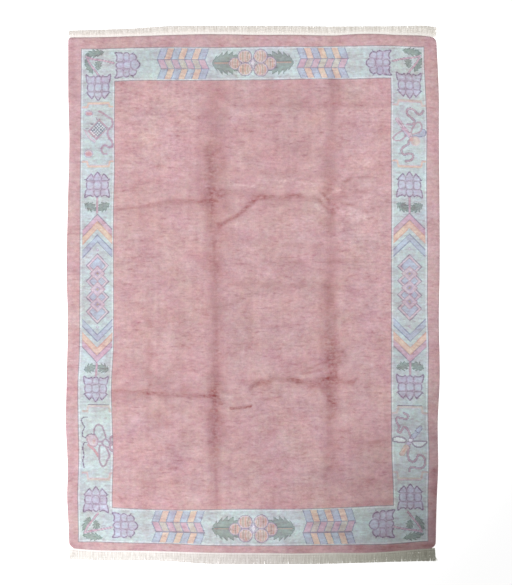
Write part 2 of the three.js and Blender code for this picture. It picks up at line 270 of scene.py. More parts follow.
# %% Pinches beside the folds
def table_rows(columns, *values):
    """A table's rows as dicts, from one line of column names."""
    names = columns.split()
    return [dict(zip(names, row)) for row in values]


# Middle and length in pixels of the photograph, turn in degrees from across, half width and
# rise in millimetres. A negative rise is a trough.
PINCHES = table_rows(
    "x y length turn half rise",
    (250, 183, 60, -2, 14, 1.4),
    (290, 182, 60, 3, 14, 1.2),
    (232, 208, 26, 35, 9, -1.6),
    (226, 193, 22, -38, 8, -1.5),
    (240, 196, 28, 18, 8, 1.2),
    (327, 192, 20, 48, 8, -1.8),
    (326, 206, 22, -46, 8, -1.6),
    (341, 190, 18, -40, 8, 1.4),
    (343, 210, 18, 38, 8, -1.3),
    (365, 193, 44, 4, 9, -1.2),
    (360, 203, 40, -5, 9, -1.0),
    (228, 395, 18, -12, 8, 1.5),
    (244, 406, 24, 10, 9, -1.7),
    (322, 368, 34, 16, 12, 1.5),
    (346, 352, 40, 20, 14, -1.6),
    (352, 378, 44, -8, 12, -1.4),
    (200, 402, 36, 6, 10, 1.1),
    (160, 386, 60, 3, 12, 1.0),
    (310, 104, 150, 1, 16, -0.9),
    (310, 113, 150, -1, 16, 0.9),
    (300, 172, 130, 2, 14, -0.9),
    (300, 262, 150, -2, 14, -0.8),
    (305, 271, 140, 1, 14, 0.8),
    (300, 281, 120, 0, 14, -0.8),
    (252, 330, 90, -3, 16, 0.7),
    (160, 300, 80, 88, 14, -0.6),
    (186, 330, 110, 91, 12, -0.7),
)
print("pinches", len(PINCHES))

# %% Height of the pile's top
SWELL = 0.5 * MM
SWELL_ACROSS = 610 * MM
SWELL_ALONG = 740 * MM


def trough(distance, depth):
    """Height across one fold: a groove between two low lips."""
    groove = np.exp(-((distance / FOLD_HALF_WIDTH) ** 2))
    lip = np.exp(-((np.abs(distance) / FOLD_HALF_WIDTH - FOLD_LIP_OFFSET) ** 2))
    return depth * (FOLD_LIP * lip - groove)


def pinch_rise(x, y, pinch):
    """Height of one short ridge or trough."""
    centre = at_photo(pinch["x"], pinch["y"])
    turn = math.radians(pinch["turn"])
    along = (x - centre[0]) * math.cos(turn) + (y - centre[1]) * math.sin(turn)
    off = (y - centre[1]) * math.cos(turn) - (x - centre[0]) * math.sin(turn)
    half_length = pinch["length"] * PIXEL / 2
    fade = np.exp(-((along / half_length) ** 4))
    return pinch["rise"] * MM * fade * np.exp(-((off / (pinch["half"] * MM)) ** 2))


def top_surface(x, y):
    """Height of the pile's top: a slow swell, the folds and the pinches."""
    wave = np.sin(2 * math.pi * x / SWELL_ACROSS + y / SWELL_ALONG)
    wave = wave * np.cos(2 * math.pi * y / SWELL_ALONG - x / SWELL_ACROSS)
    height = PILE_HEIGHT + SWELL * wave
    for folds, off_axis, on_axis in ((LENGTH_FOLDS, x, y), (WIDTH_FOLDS, y, x)):
        for fold in folds:
            line = curve_through(fold["at"], fold["line"])(on_axis)
            depth = curve_through(fold["at"], fold["depth"])(on_axis)
            height = height + trough(off_axis - line, depth)
    for pinch in PINCHES:
        height = height + pinch_rise(x, y, pinch)
    return height


grid_height = top_surface(grid_x, grid_y)
print("pile top, mm", grid_height.min() / MM, "to", grid_height.max() / MM)

# %% [markdown]
# Where pile is parted or pressed it shows its shaded flanks, so painted shade makes it a deeper
# rose. The folds have wide soft bands of that, with thin cores where they bent most. The rest are
# short strokes of painted shade and highlight, and patches of painted sheen and shade where the
# pile leans. All are placed in pixels of the photograph, and their darkness is a number of
# hundredths. Below nought the pile is painted paler, as painted light.

# %% Bands of shade along the folds
BAND_SHADES = (
    dict(
        way="along",
        at=[
            80, 110, 140, 150, 175, 200, 215, 240, 265, 290,
            310, 340, 360, 395, 420, 440, 465, 490, 508,
        ],
        line=[
            215, 215, 213, 212, 212, 212, 213, 214, 214, 216,
            217, 217, 216, 215, 215, 215, 215, 216, 216,
        ],
        half=[12, 13, 13, 14, 14, 13, 11, 12, 12, 10, 8, 7, 8, 9, 9, 8, 7, 6, 5],
        dark=[10, 18, 16, 26, 28, 28, 16, 22, 24, 16, 14, 16, 20, 24, 30, 28, 16, 12, 6],
    ),
    dict(
        way="along",
        at=[150, 185, 200, 210, 230, 262, 292, 310, 385, 396, 405, 425, 450, 480, 500],
        line=[211, 211.5, 212, 212, 213, 215, 217, 217, 214, 214, 215, 216, 215, 216, 217],
        half=[2, 2, 2.2, 2, 2, 1.6, 1.6, 1.6, 2, 2.2, 2, 2, 2, 1.6, 1.6],
        dark=[3, 9, 28, 14, 3, 5, 8, 4, 6, 30, 16, 9, 6, 9, 8],
    ),
    dict(
        way="along",
        at=[
            80, 100, 130, 145, 170, 200, 225, 240, 260, 285,
            305, 330, 355, 372, 385, 400, 415, 430, 460, 508,
        ],
        line=[
            334, 335, 333, 331, 330, 331, 331, 332, 334, 330,
            331, 331, 333, 332, 330, 331, 331, 331, 331, 331,
        ],
        half=[6, 7, 6, 8, 8, 8, 7, 6, 8, 9, 9, 10, 10, 9, 9, 8, 8, 7, 8, 6],
        dark=[20, 20, 10, 18, 20, 20, 18, 6, 14, 16, 24, 26, 36, 32, 20, 26, 24, 10, 16, 6],
    ),
    dict(
        way="across",
        at=[115, 130, 148, 160, 185, 205, 213],
        line=[210, 208, 206, 203, 202, 201, 200],
        half=[1.6, 1.6, 1.8, 3, 3.4, 3, 3],
        dark=[18, 22, 24, 20, 20, 26, 18],
    ),
    dict(
        way="across",
        at=[115, 140, 170, 195, 207, 214, 217],
        line=[391, 392, 395, 396, 396, 395.5, 396],
        half=[1.4, 2, 2.2, 2, 2, 2, 2],
        dark=[10, 20, 22, 30, 38, 42, 0],
    ),
)
print("bands", len(BAND_SHADES))

# %% Short strokes of painted shade and painted highlight
# A positive darkness is painted shade, a negative one a painted highlight.
SHADE_STROKES = table_rows(
    "line half dark",
    ([(220, 225), (235, 217), (246, 207), (257, 199), (270, 197), (300, 196)], 2.6, 37),
    ([(300, 196), (315, 199), (325, 206), (333, 213)], 2.1, 27),
    ([(320, 192), (328, 200), (337, 208)], 1.6, 22),
    ([(216, 192), (262, 196)], 5, 12),
    ([(345, 181), (352, 178)], 1.8, 26),
    ([(362, 178), (372, 176)], 1.8, 20),
    ([(343, 194), (366, 192)], 1.8, 16),
    ([(343, 203), (352, 206), (367, 212)], 2, 24),
    ([(350, 226), (376, 223)], 2, 12),
    ([(217, 397), (223, 403)], 1.6, 22),
    ([(230, 409), (240, 407), (251, 406)], 1.3, 120),
    ([(118, 391), (165, 390), (212, 392)], 6, 9),
    ([(236, 398), (262, 399), (285, 398)], 1.6, 12),
    ([(310, 386), (340, 383), (356, 380)], 2.2, 22),
    ([(308, 368), (322, 364), (332, 358)], 1.3, 16),
    ([(358, 549), (396, 548), (432, 545)], 3.6, 26),
    ([(435, 470), (437, 500), (437, 540)], 4, 28),
    ([(296, 547), (330, 546)], 2, 10),
    ([(280, 150), (305, 151)], 4, 9),
    ([(252, 387), (262, 383), (285, 379), (300, 382), (318, 381), (335, 376)], 2.9, 42),
    ([(303, 373), (320, 370), (331, 364)], 1.6, 16),
    ([(338, 378), (353, 384)], 2.2, 26),
    ([(322, 392), (331, 398), (335, 410), (331, 418)], 2.2, 24),
    ([(147, 265), (148, 440)], 2.2, 9),
    ([(181, 288), (184, 440)], 3.5, 7),
    ([(251, 318), (250, 346)], 2.2, 12),
    ([(236, 105), (390, 104)], 2.6, 10),
    ([(235, 172), (330, 174)], 3.2, 9),
    ([(285, 245), (320, 246)], 3, 12),
    ([(270, 263), (360, 261)], 2.4, 11),
    ([(235, 240), (262, 241)], 3, 9),
    ([(230, 284), (352, 287)], 3, 12),
    ([(118, 396), (165, 398)], 7, 9),
    ([(138, 378), (166, 378)], 6, 10),
    ([(152, 408), (166, 430)], 5, 8),
    ([(366, 442), (386, 442)], 2.6, 14),
    ([(135, 482), (175, 483)], 3, 10),
    ([(368, 502), (390, 501)], 2.2, 14),
    ([(214, 184), (240, 185), (262, 188)], 2.6, -11),
    ([(262, 180), (320, 183)], 3, -12),
    ([(221, 395), (233, 397)], 2.2, -20),
    ([(322, 198), (338, 190)], 1.7, -15),
    ([(316, 206), (328, 216)], 1.8, -18),
    ([(340, 211), (352, 216)], 2, -9),
    ([(348, 166), (370, 162)], 4, -14),
    ([(300, 377), (326, 373)], 1.8, -12),
    ([(340, 392), (352, 390)], 3, -10),
    ([(235, 112), (388, 112)], 3, -6),
    ([(336, 84), (342, 500)], 3, -4),
    ([(204, 84), (202, 500)], 3, -4),
)
print("strokes", len(SHADE_STROKES))

# %% Patches of painted sheen, shade and light
# Middle and reach in pixels. Where the pile leans one way, painted shade deepens its rose or,
# below nought, painted sheen pales it. The dimming patches are painted shade on every yarn alike,
# and below nought painted light makes a place brighter than the rest.
PILE_LEAN_SHADE = table_rows(
    "x y across along dark",
    (280, 205, 60, 20, 7),
    (335, 372, 34, 30, 9),
    (290, 222, 46, 10, -6),
    (366, 216, 20, 14, -6),
    (148, 142, 16, 10, -4),
    (362, 470, 30, 44, 6),
    (275, 140, 60, 50, 4),
    (275, 100, 40, 20, 4),
    (160, 200, 40, 16, 5),
    (160, 385, 50, 16, 5),
    (190, 330, 34, 60, 3),
    (160, 110, 44, 44, -6),
    (366, 125, 20, 44, -4),
    (365, 230, 26, 44, -5),
    (380, 300, 14, 60, -3),
    (240, 118, 34, 8, -5),
    (388, 549, 24, 5, 14),
)
PAINTED_DIMMING = table_rows(
    "x y across along dark",
    (272, 320, 82, 80, 13),
    (262, 455, 85, 75, 16),
    (150, 450, 46, 70, 7),
    (150, 290, 40, 70, 6),
    (372, 300, 22, 90, 4),
    (150, 62, 30, 24, 6),
    (210, 56, 12, 10, 6),
    (250, 530, 70, 16, -10),
    (357, 64, 14, 14, -3),
    (366, 470, 26, 40, 2),
    (425, 120, 60, 90, -8),
    (296, 58, 60, 26, -6),
    (437, 280, 14, 110, -8),
)


def patches_of(table, px, py):
    """Soft round patches added up, as a share."""
    total = np.zeros_like(px)
    for row in table:
        away = np.hypot((px - row["x"]) / row["across"], (py - row["y"]) / row["along"])
        total += row["dark"] / 100 * np.exp(-(away**2))
    return total


# The brushed patches are painted sheen and shade, the others painted shade and light.
print("brushed patches", len(PILE_LEAN_SHADE), "worn patches", len(PAINTED_DIMMING))

# %% [markdown]
# A stroke of shade and the outline of a motif are the same thing: a smooth line through a few
# points. These functions fill in such a line and give every place's distance from it. They
# serve the shade now, and the pattern later.

# %% Lines, loops and the distance from them
CURVE_STEPS = 5
NEVER_ZERO = 1e-9


def between(four, t):
    """Point on the curve between the middle two of four points."""
    a, b, c, d = four
    tension = 0.5
    ahead, behind = tension * (c - a), tension * (d - b)
    t2, t3 = t * t, t * t * t
    point = (2 * t3 - 3 * t2 + 1) * b + (t3 - 2 * t2 + t) * ahead
    point = point + (3 * t2 - 2 * t3) * c + (t3 - t2) * behind
    return tuple(point)


def smooth_line(points):
    """Points of a smooth open line through the given ones."""
    p = np.array(points, float)
    p = np.vstack([2 * p[0] - p[1], p, 2 * p[-1] - p[-2]])
    line = [tuple(p[1])]
    for k in range(1, len(p) - 2):
        for step in range(1, CURVE_STEPS + 1):
            line.append(between(p[k - 1:k + 3], step / CURVE_STEPS))
    return line


def smooth_loop(points):
    """Points of a smooth closed line through the given ones."""
    p = np.array(points, float)
    count = len(p)
    loop = []
    for k in range(count):
        four = p[[(k - 1) % count, k, (k + 1) % count, (k + 2) % count]]
        loop += [between(four, step / CURVE_STEPS) for step in range(CURVE_STEPS)]
    return loop + [loop[0]]


def stroke(a, b, points):
    """Distance of each place from a line through points."""
    away = np.full(a.shape, np.inf)
    for (a0, b0), (a1, b1) in zip(points, points[1:]):
        run_a, run_b = a1 - a0, b1 - b0
        length = max(run_a * run_a + run_b * run_b, NEVER_ZERO)
        share = np.clip(((a - a0) * run_a + (b - b0) * run_b) / length, 0, 1)
        away = np.minimum(away, np.hypot(a - a0 - share * run_a, b - b0 - share * run_b))
    return away


def inside(a, b, loop):
    """Which places lie inside a closed line."""
    within = np.zeros(a.shape, bool)
    for (a0, b0), (a1, b1) in zip(loop, loop[1:]):
        if b0 == b1:
            continue
        spans = (b0 > b) != (b1 > b)
        within ^= spans & (a < (a1 - a0) * (b - b0) / (b1 - b0) + a0)
    return within


print("points on the first stroke", len(smooth_line(SHADE_STROKES[0]["line"])))

# %% Shade of the pile
DEEPEST = 0.60
DEEPEST_LIFT = 1.08
BAND_STRENGTH = 1.45
BAND_EDGE_POWER = 2.6
BAND_END_FADE = 6
BAND_WANDER = 0.08
BAND_WANDER_WAVES = (3.7, 5.0)
BAND_SWELL = 0.2
BAND_SWELL_WAVES = (6.1, -9.0)
STROKE_STRENGTH = 1.35
STRAY_ACROSS = 1.1
STRAY_ACROSS_WAVES = (3.1, 7.7)
STRAY_ALONG = 0.7
STRAY_ALONG_WAVE = 3.3
STRAY_BEND = 1.4
STRAY_BEND_WAVE = 8.7
PATCHY_MEAN = 0.85
PATCHY_SWING = 0.4
PATCHY_WAVES = (5.3, 3.7)
REACH_IN_HALVES = 3
REACH_SPARE = 2


def pixel_curve(stations, values):
    """Smooth curve through a table's column, in the table's own units."""
    return curve_through(np.array(stations) / MM, np.array(values) / MM)


def waves(on, off, lengths):
    """Slanting waves between -1 and 1, which keep a drawn line from looking ruled."""
    return np.sin(on / lengths[0] + off / lengths[1])


def band_shade(band, px, py):
    """Shade of one band: a soft profile about a line that wanders and swells a little."""
    on, off = (py, px) if band["way"] == "along" else (px, py)
    half = pixel_curve(band["at"], band["half"])(on)
    line = pixel_curve(band["at"], band["line"])(on)
    line = line + BAND_WANDER * half * waves(on, off, BAND_WANDER_WAVES)
    half = half * (1 + BAND_SWELL * waves(on, off, BAND_SWELL_WAVES))
    dark = np.interp(on, band["at"], band["dark"]) * BAND_STRENGTH
    first, last = band["at"][0], band["at"][-1]
    beyond = np.maximum(first - on, 0) + np.maximum(on - last, 0)
    profile = np.exp(-(np.abs((off - line) / half) ** BAND_EDGE_POWER))
    return dark / 100 * profile * np.exp(-((beyond / BAND_END_FADE) ** 2))


def shade_of_pile(px, py):
    """Painted shade as a share, at pixels of the photograph; below nought it is painted light."""
    shade = np.zeros_like(px)
    for band in BAND_SHADES:
        shade += band_shade(band, px, py)
    stray_x = px + STRAY_ACROSS * waves(py, px, STRAY_ACROSS_WAVES)
    bend = STRAY_BEND * np.sin(px / STRAY_BEND_WAVE)
    stray_y = py + STRAY_ALONG * np.sin(px / STRAY_ALONG_WAVE + bend)
    patchy = STROKE_STRENGTH * (PATCHY_MEAN + PATCHY_SWING * waves(px, py, PATCHY_WAVES))
    for row in SHADE_STROKES:
        reach = REACH_IN_HALVES * row["half"] + REACH_SPARE
        xs = [x for x, _ in row["line"]]
        ys = [y for _, y in row["line"]]
        near = (px > min(xs) - reach) & (px < max(xs) + reach)
        near &= (py > min(ys) - reach) & (py < max(ys) + reach)
        away = stroke(stray_x[near], stray_y[near], smooth_line(row["line"]))
        shade[near] += patchy[near] * row["dark"] / 100 * np.exp(-((away / row["half"]) ** 2))
    shade += patches_of(PILE_LEAN_SHADE, px, py)
    return np.where(shade > DEEPEST / 2, DEEPEST * np.tanh(shade / DEEPEST) * DEEPEST_LIFT, shade)


grid_px = grid_x / PIXEL + RUG_MIDDLE_PIXEL[0]
grid_py = RUG_MIDDLE_PIXEL[1] - grid_y / PIXEL
grid_shade = shade_of_pile(grid_px, grid_py)
# Painted shade and light that dim or brighten every yarn alike, as a share.
grid_dimmed = patches_of(PAINTED_DIMMING, grid_px, grid_py)
print("shade", grid_shade.min(), "to", grid_shade.max())

# %% [markdown]
# The yarns are few, as on the real loom: two roses, a pale blue ground, and pastels for the
# pattern. A colour is named once, as it looks in even light, and turned into Blender's linear
# values by one function.

# %% Yarns
YARNS = dict(
    rose=(201, 163, 166),
    guard_rose=(200, 165, 168),
    ground=(192, 201, 204),
    edge=(158, 150, 156),
    pale=(210, 214, 218),
    mauve=(157, 149, 163),
    plum=(138, 128, 146),
    soft_mauve=(182, 171, 190),
    stem=(183, 161, 173),
    lilac=(190, 183, 203),
    ice=(184, 192, 209),
    pink=(204, 164, 172),
    pale_pink=(204, 188, 198),
    magenta=(201, 173, 187),
    beige=(197, 189, 184),
    apricot=(215, 190, 178),
    slate=(148, 154, 174),
    blue=(182, 188, 204),
    orchid=(183, 158, 177),
    heart=(189, 190, 206),
    leaf=(152, 163, 160),
    deep_leaf=(133, 145, 144),
    night=(140, 150, 161),
    tan=(181, 164, 155),
    petal=(203, 187, 184),
    coral=(203, 168, 158),
    white=(214, 212, 219),
)
YARN_NUMBER = {name: number for number, name in enumerate(YARNS)}


def linear(colour):
    """A screen colour, 0 to 255, as linear light."""
    c = np.array(colour, float) / 255
    return np.where(c <= 0.04045, c / 12.92, ((c + 0.055) / 1.055) ** 2.4)


print("yarns", len(YARNS), "field rose as linear light", linear(YARNS["rose"]).round(3))

# %% [markdown]
# Squared paper: one number for each knot says its yarn. Shapes are drawn on it by formulas, so
# a motif is a few named points and widths. A motif is drawn upright about its own middle, in
# millimetres, and turned as it is placed.

# %% Squared paper
chart = np.full((ALONG_COUNT, ACROSS_COUNT), YARN_NUMBER["rose"], np.int8)
knot_x = np.interp(np.arange(ACROSS_COUNT) + 0.5, ACROSS_KNOTS, ACROSS_PLACES) / MM
knot_y = np.interp(np.arange(ALONG_COUNT) + 0.5, ALONG_KNOTS, ALONG_PLACES) / MM
PX = PIXEL / MM


def weave_at(px, py):
    """Place on the straight grid, in millimetres, of a pixel of the photograph."""
    x, y = at_photo(px, py)
    straight_across = np.interp(x, across_lines(np.array([y]))[:, 0], ACROSS_PLACES)
    straight_along = np.interp(y, along_lines(np.array([x]))[:, 0], ALONG_PLACES)
    return straight_across / MM, straight_along / MM


print("middle of the rug on squared paper, mm", weave_at(*RUG_MIDDLE_PIXEL))

# %% Drawing tools
# Half the width of an outline, and of a fine one, in millimetres.
LINE = 2.9
THIN_LINE = 1.9
TURNS = dict(
    up=lambda dx, dy: (dx, dy),
    down=lambda dx, dy: (-dx, -dy),
    right=lambda dx, dy: (-dy, dx),
    left=lambda dx, dy: (dy, -dx),
)


class Sheet:
    """A window of the squared paper round one motif, with its own turned coordinates."""

    def __init__(self, px, py, reach, facing="up"):
        x, y = weave_at(px, py)
        columns = np.flatnonzero(np.abs(knot_x - x) < reach)
        rows = np.flatnonzero(np.abs(knot_y - y) < reach)
        self.knots = chart[rows[0]:rows[-1] + 1, columns[0]:columns[-1] + 1]
        dx, dy = np.meshgrid(knot_x[columns] - x, knot_y[rows] - y)
        self.a, self.b = TURNS[facing](dx, dy)

    def fill(self, where, yarn):
        """One yarn for all the knots of a mask."""
        self.knots[where] = YARN_NUMBER[yarn]

    def shape(self, points, yarn, line=None, width=LINE, rounded=True):
        """A closed shape with an optional outline."""
        loop = smooth_loop(points) if rounded else list(points) + [points[0]]
        edge = stroke(self.a, self.b, loop)
        within = inside(self.a, self.b, loop)
        if yarn:
            self.fill(within, yarn)
        if line:
            self.fill(edge < width, line)
        return within, edge

    def ribbon(self, points, yarn, width, line=None):
        """A smooth line of some width, with an optional darker edge."""
        away = stroke(self.a, self.b, smooth_line(points))
        if line:
            self.fill(away < width / 2 + THIN_LINE, line)
        self.fill(away < width / 2, yarn)

    def oval(self, centre, radii, yarn, line=None):
        """An upright oval, with an optional outline inside its edge."""
        reach = np.hypot((self.a - centre[0]) / radii[0], (self.b - centre[1]) / radii[1])
        if line:
            self.fill(reach < 1, line)
        shrink = 1 - (2 * THIN_LINE / min(radii) if line else 0)
        self.fill(reach < shrink, yarn)
        return reach


def mirrored(points):
    """The same points on the other side of a motif's middle line."""
    return [(-a, b) for a, b in points]


def pixels(points, middle):
    """Points read off the photograph, as millimetres about a motif's middle."""
    return [((px - middle[0]) * PX, (middle[1] - py) * PX) for px, py in points]


print("an outline is", round(2 * LINE * MM / KNOT, 1), "knots wide")

# %% [markdown]
# First the grounds: guard, blue border and field. Two paler rows run just inside both edges of
# the border. The thin dark line between them and the rose comes last, over the motifs.

# %% Grounds and paler rows
row_index = np.arange(ALONG_COUNT)[:, None]
column_index = np.arange(ACROSS_COUNT)[None, :]
band_depth = np.minimum(
    np.minimum(column_index - ACROSS_KNOTS[1], ACROSS_KNOTS[4] - 1 - column_index),
    np.minimum(row_index - ALONG_KNOTS[1], ALONG_KNOTS[4] - 1 - row_index),
)
field_depth = np.minimum(
    np.minimum(column_index - ACROSS_KNOTS[2], ACROSS_KNOTS[3] - 1 - column_index),
    np.minimum(row_index - ALONG_KNOTS[2], ALONG_KNOTS[3] - 1 - row_index),
)
chart[band_depth < 0] = YARN_NUMBER["guard_rose"]
chart[(band_depth >= 0) & (field_depth < 0)] = YARN_NUMBER["ground"]
chart[(band_depth >= 1) & (band_depth <= 2)] = YARN_NUMBER["pale"]
chart[(field_depth <= -2) & (field_depth >= -3) & (band_depth > 0)] = YARN_NUMBER["pale"]
print("knots", chart.size, "in the border", int(((band_depth >= 0) & (field_depth < 0)).sum()))

# %% [markdown]
# The twelve open flowers are one motif of nine outlined petals in three rows. Two ears stand
# beside the stem, and the three at the tip are pointed, but round on flowers along the ends.
# A dull pink shows between the petals, and a dark line runs round them all. The motif is drawn
# again in each place, turned to face its way.

# %% Petals, in millimetres about the flower's middle
EAR = [(-52, -22), (-58, -57), (-44, -50), (-30, -48), (-19, -52), (-17, -24), (-34, -20)]
MIDDLE_SIDE = [(-45, 19), (-51, 3), (-47, -16), (-33, -20), (-21, -16), (-19, 1), (-21, 15), (-32, 19)]
MIDDLE = [(-13, 15), (-18, 2), (-14, -16), (0, -20), (14, -16), (18, 2), (13, 15), (0, 19)]
STEM_PETAL = [(-14, -24), (-13, -44), (0, -54), (14, -44), (14, -24), (0, -21)]
POINT_SIDE = [(-52, 22), (-45, 35), (-31, 50), (-28, 50), (-19, 37), (-15, 23), (-32, 19)]
POINT_MIDDLE = [(-17, 24), (-15, 40), (-2, 59), (2, 59), (15, 40), (17, 24), (0, 19)]
WIDE_SIDE = [(-51, 6), (-56, -5), (-51, -17), (-35, -20), (-21, -16), (-18, -3), (-21, 7), (-36, 11)]
ROUND_SIDE = [(-47, 12), (-51, 24), (-43, 37), (-30, 41), (-19, 33), (-15, 19), (-20, 10), (-35, 7)]
ROUND_MIDDLE = [(-18, 20), (-22, 34), (-14, 50), (0, 57), (14, 50), (22, 34), (18, 20), (0, 13)]
BODY = [(-50, 20), (-47, -20), (-52, -46), (0, -46), (52, -46), (47, -20), (50, 20), (0, 32)]
TIPS = dict(
    pointed=(EAR, MIDDLE_SIDE, POINT_SIDE, POINT_MIDDLE),
    round=(EAR, WIDE_SIDE, ROUND_SIDE, ROUND_MIDDLE),
)
SPUR = [(-48, 21), (-58, 27)]
print("kinds of flower", list(TIPS), "ground between petals, mm", np.ptp(np.array(BODY), axis=0))

# %% An open flower
# Widths in millimetres from a petal's outline: its rim, the pale heart within, and its line.
# A place near one petal alone is on the outside, and gets the dark line.
FLOWER_REACH = 78
PETAL_RIM = 3.4
PETAL_HEART = 6
PETAL_LINE = 1.4
PETAL_NEAR = 8
OUTSIDE_LINE = 2.0


def flower(px, py, facing, tip="pointed"):
    """Nine petals with pale hearts and lilac rims, and a dark line round them all."""
    paper = Sheet(px, py, FLOWER_REACH, facing)
    ear, middle_side, tip_side, tip_middle = TIPS[tip]
    outlines = []
    for points in (ear, middle_side, tip_side):
        outlines += [points, mirrored(points)]
    outlines += [STEM_PETAL, MIDDLE, tip_middle]
    paper.shape(BODY, "orchid", rounded=False)
    edges = []
    for points in outlines:
        within, edge = paper.shape(points, "lilac", "soft_mauve", PETAL_RIM)
        paper.fill(within & (edge > PETAL_HEART), "heart")
        paper.fill(edge < PETAL_LINE, "mauve")
        edges.append(edge)
    neighbours = sum((edge < PETAL_NEAR).astype(int) for edge in edges)
    nearest = np.min(edges, axis=0)
    paper.fill((neighbours == 1) & (nearest < OUTSIDE_LINE), "plum")
    for spur in (SPUR, mirrored(SPUR)):
        paper.fill(stroke(paper.a, paper.b, spur) < THIN_LINE, "plum")
    return len(outlines)


print("rim of a petal, mm", PETAL_RIM, "dark line, mm", 2 * OUTSIDE_LINE)

# %% A toothed leaf
LEAF_EDGE = 1.5 * LINE
LEAF_VEIN = THIN_LINE / 2


def leaf(paper, base, tip, half_width, teeth, fullness=0.8, cut=0.5):
    """A leaf with teeth cut along both sides. A small fullness value makes a blunter leaf."""
    run_a, run_b = tip[0] - base[0], tip[1] - base[1]
    length = math.hypot(run_a, run_b)
    share = ((paper.a - base[0]) * run_a + (paper.b - base[1]) * run_b) / length**2
    off = np.abs((paper.a - base[0]) * run_b - (paper.b - base[1]) * run_a) / length
    body = np.sin(math.pi * np.clip(share, 0, 1)) ** fullness
    tooth = 1 - cut * ((teeth * share) % 1.0)
    reach = half_width * body * tooth
    within = (share > 0) & (share < 1) & (off < reach)
    paper.fill(within, "leaf")
    paper.fill(within & (off > reach - LEAF_EDGE), "deep_leaf")
    paper.fill(within & (off < LEAF_VEIN), "deep_leaf")


print("edge of a leaf, mm", LEAF_EDGE, "vein, mm", 2 * LEAF_VEIN)

# %% Flowers on straight stems
STEMMED_REACH = 150
STEM_TOP = -56
STEM_FOOT = -66
STEM_WIDTH = 5
LEAF_ROOT = 12
LEAF_TIP = (60, -86)


def stemmed_flower(px, py, facing, stem):
    """A flower with a straight stem and a pair of leaves under it."""
    paper = Sheet(px, py, STEMMED_REACH, facing)
    root = STEM_FOOT - stem
    for side in (-1, 1):
        tip = (side * LEAF_TIP[0], LEAF_TIP[1])
        leaf(paper, (0, root + LEAF_ROOT), tip, half_width=26, teeth=4, fullness=0.85)
    paper.ribbon([(0, STEM_TOP), (0, root)], "magenta", STEM_WIDTH, "stem")
    return flower(px, py, facing)


STEMMED_FLOWERS = (
    dict(px=97.3, py=185.2, facing="up", stem=62),
    dict(px=95.6, py=388.6, facing="down", stem=50),
    dict(px=409.5, py=185.0, facing="up", stem=66),
    dict(px=410.0, py=387.2, facing="down", stem=54),
)
petal_count = sum(stemmed_flower(**row) for row in STEMMED_FLOWERS)
print("flowers on stems", len(STEMMED_FLOWERS), "with petals", petal_count)

# %% Places of the corner flowers
CORNER_FLOWERS = (
    dict(px=127.5, py=64.8, facing="right", tip="round"),
    dict(px=98.2, py=87.6, facing="down"),
    dict(px=378.5, py=62.6, facing="left", tip="round"),
    dict(px=409.2, py=85.2, facing="down"),
    dict(px=95.8, py=499.7, facing="up"),
    dict(px=125.2, py=525.5, facing="right", tip="round"),
    dict(px=410.4, py=497.2, facing="up"),
    dict(px=381.8, py=524.0, facing="left", tip="round"),
)
print("corner flowers", len(CORNER_FLOWERS))

# %% [markdown]
# In each corner a branch springs from the outer angle and forks to two flowers, with three
# toothed leaves. It is drawn once, in a frame that measures inwards from the corner.

# %% Corner branches
CORNERS = (
    dict(px=80.6, py=47.8, right=1, down=1),
    dict(px=426.4, py=46.6, right=-1, down=1),
    dict(px=78.2, py=542.0, right=1, down=-1),
    dict(px=428.4, py=541.0, right=-1, down=-1),
)
CORNER_STEMS = (
    [(28, 42), (44, 72), (70, 104), (94, 134)],
    [(28, 42), (62, 52), (104, 58), (158, 72)],
)
CORNER_LEAVES = (
    dict(base=(20, 32), tip=(114, 20), half_width=22, teeth=5),
    dict(base=(20, 52), tip=(58, 118), half_width=20, teeth=4),
    dict(base=(88, 52), tip=(82, 102), half_width=21, teeth=4),
)
CORNER_REACH = 200
CORNER_STEM_WIDTH = 6.0


def corner_branch(px, py, right, down):
    """Leaves and two stems, measured inwards from the border's outer corner."""
    paper = Sheet(px, py, CORNER_REACH)
    paper.a = paper.a * right
    paper.b = -paper.b * down
    for row in CORNER_LEAVES:
        leaf(paper, **row)
    for stem in CORNER_STEMS:
        paper.ribbon(stem, "magenta", CORNER_STEM_WIDTH, "mauve")


for row in CORNERS:
    corner_branch(**row)
for row in CORNER_FLOWERS:
    flower(**row)
print("flowers", len(STEMMED_FLOWERS) + len(CORNER_FLOWERS), "corner branches", len(CORNERS))

# %% [markdown]
# Four herringbone blocks stand in the end borders: seven slanted bars in three rows that lean to
# and fro. Outer rows change between blue and apricot, the middle row between rose and beige.

# %% Herringbone blocks
BAR = 31.6
BAR_LEAN = 18
BARS = 7
ROW_SHARES = (0.36, 0.30, 0.34)
ROW_YARNS = (("blue", "apricot"), ("magenta", "beige"), ("blue", "apricot"))
HERRINGBONE_REACH = 150
FROM_LINES = 2 * KNOT / MM
PAST_ENDS = 0.08
HERRINGBONES = (
    dict(px=183.0, py=63.6, lean=1, end="head"),
    dict(px=322.6, py=63.4, lean=-1, end="head"),
    dict(px=178.2, py=526.8, lean=1, end="foot"),
    dict(px=329.2, py=527.2, lean=-1, end="foot"),
)


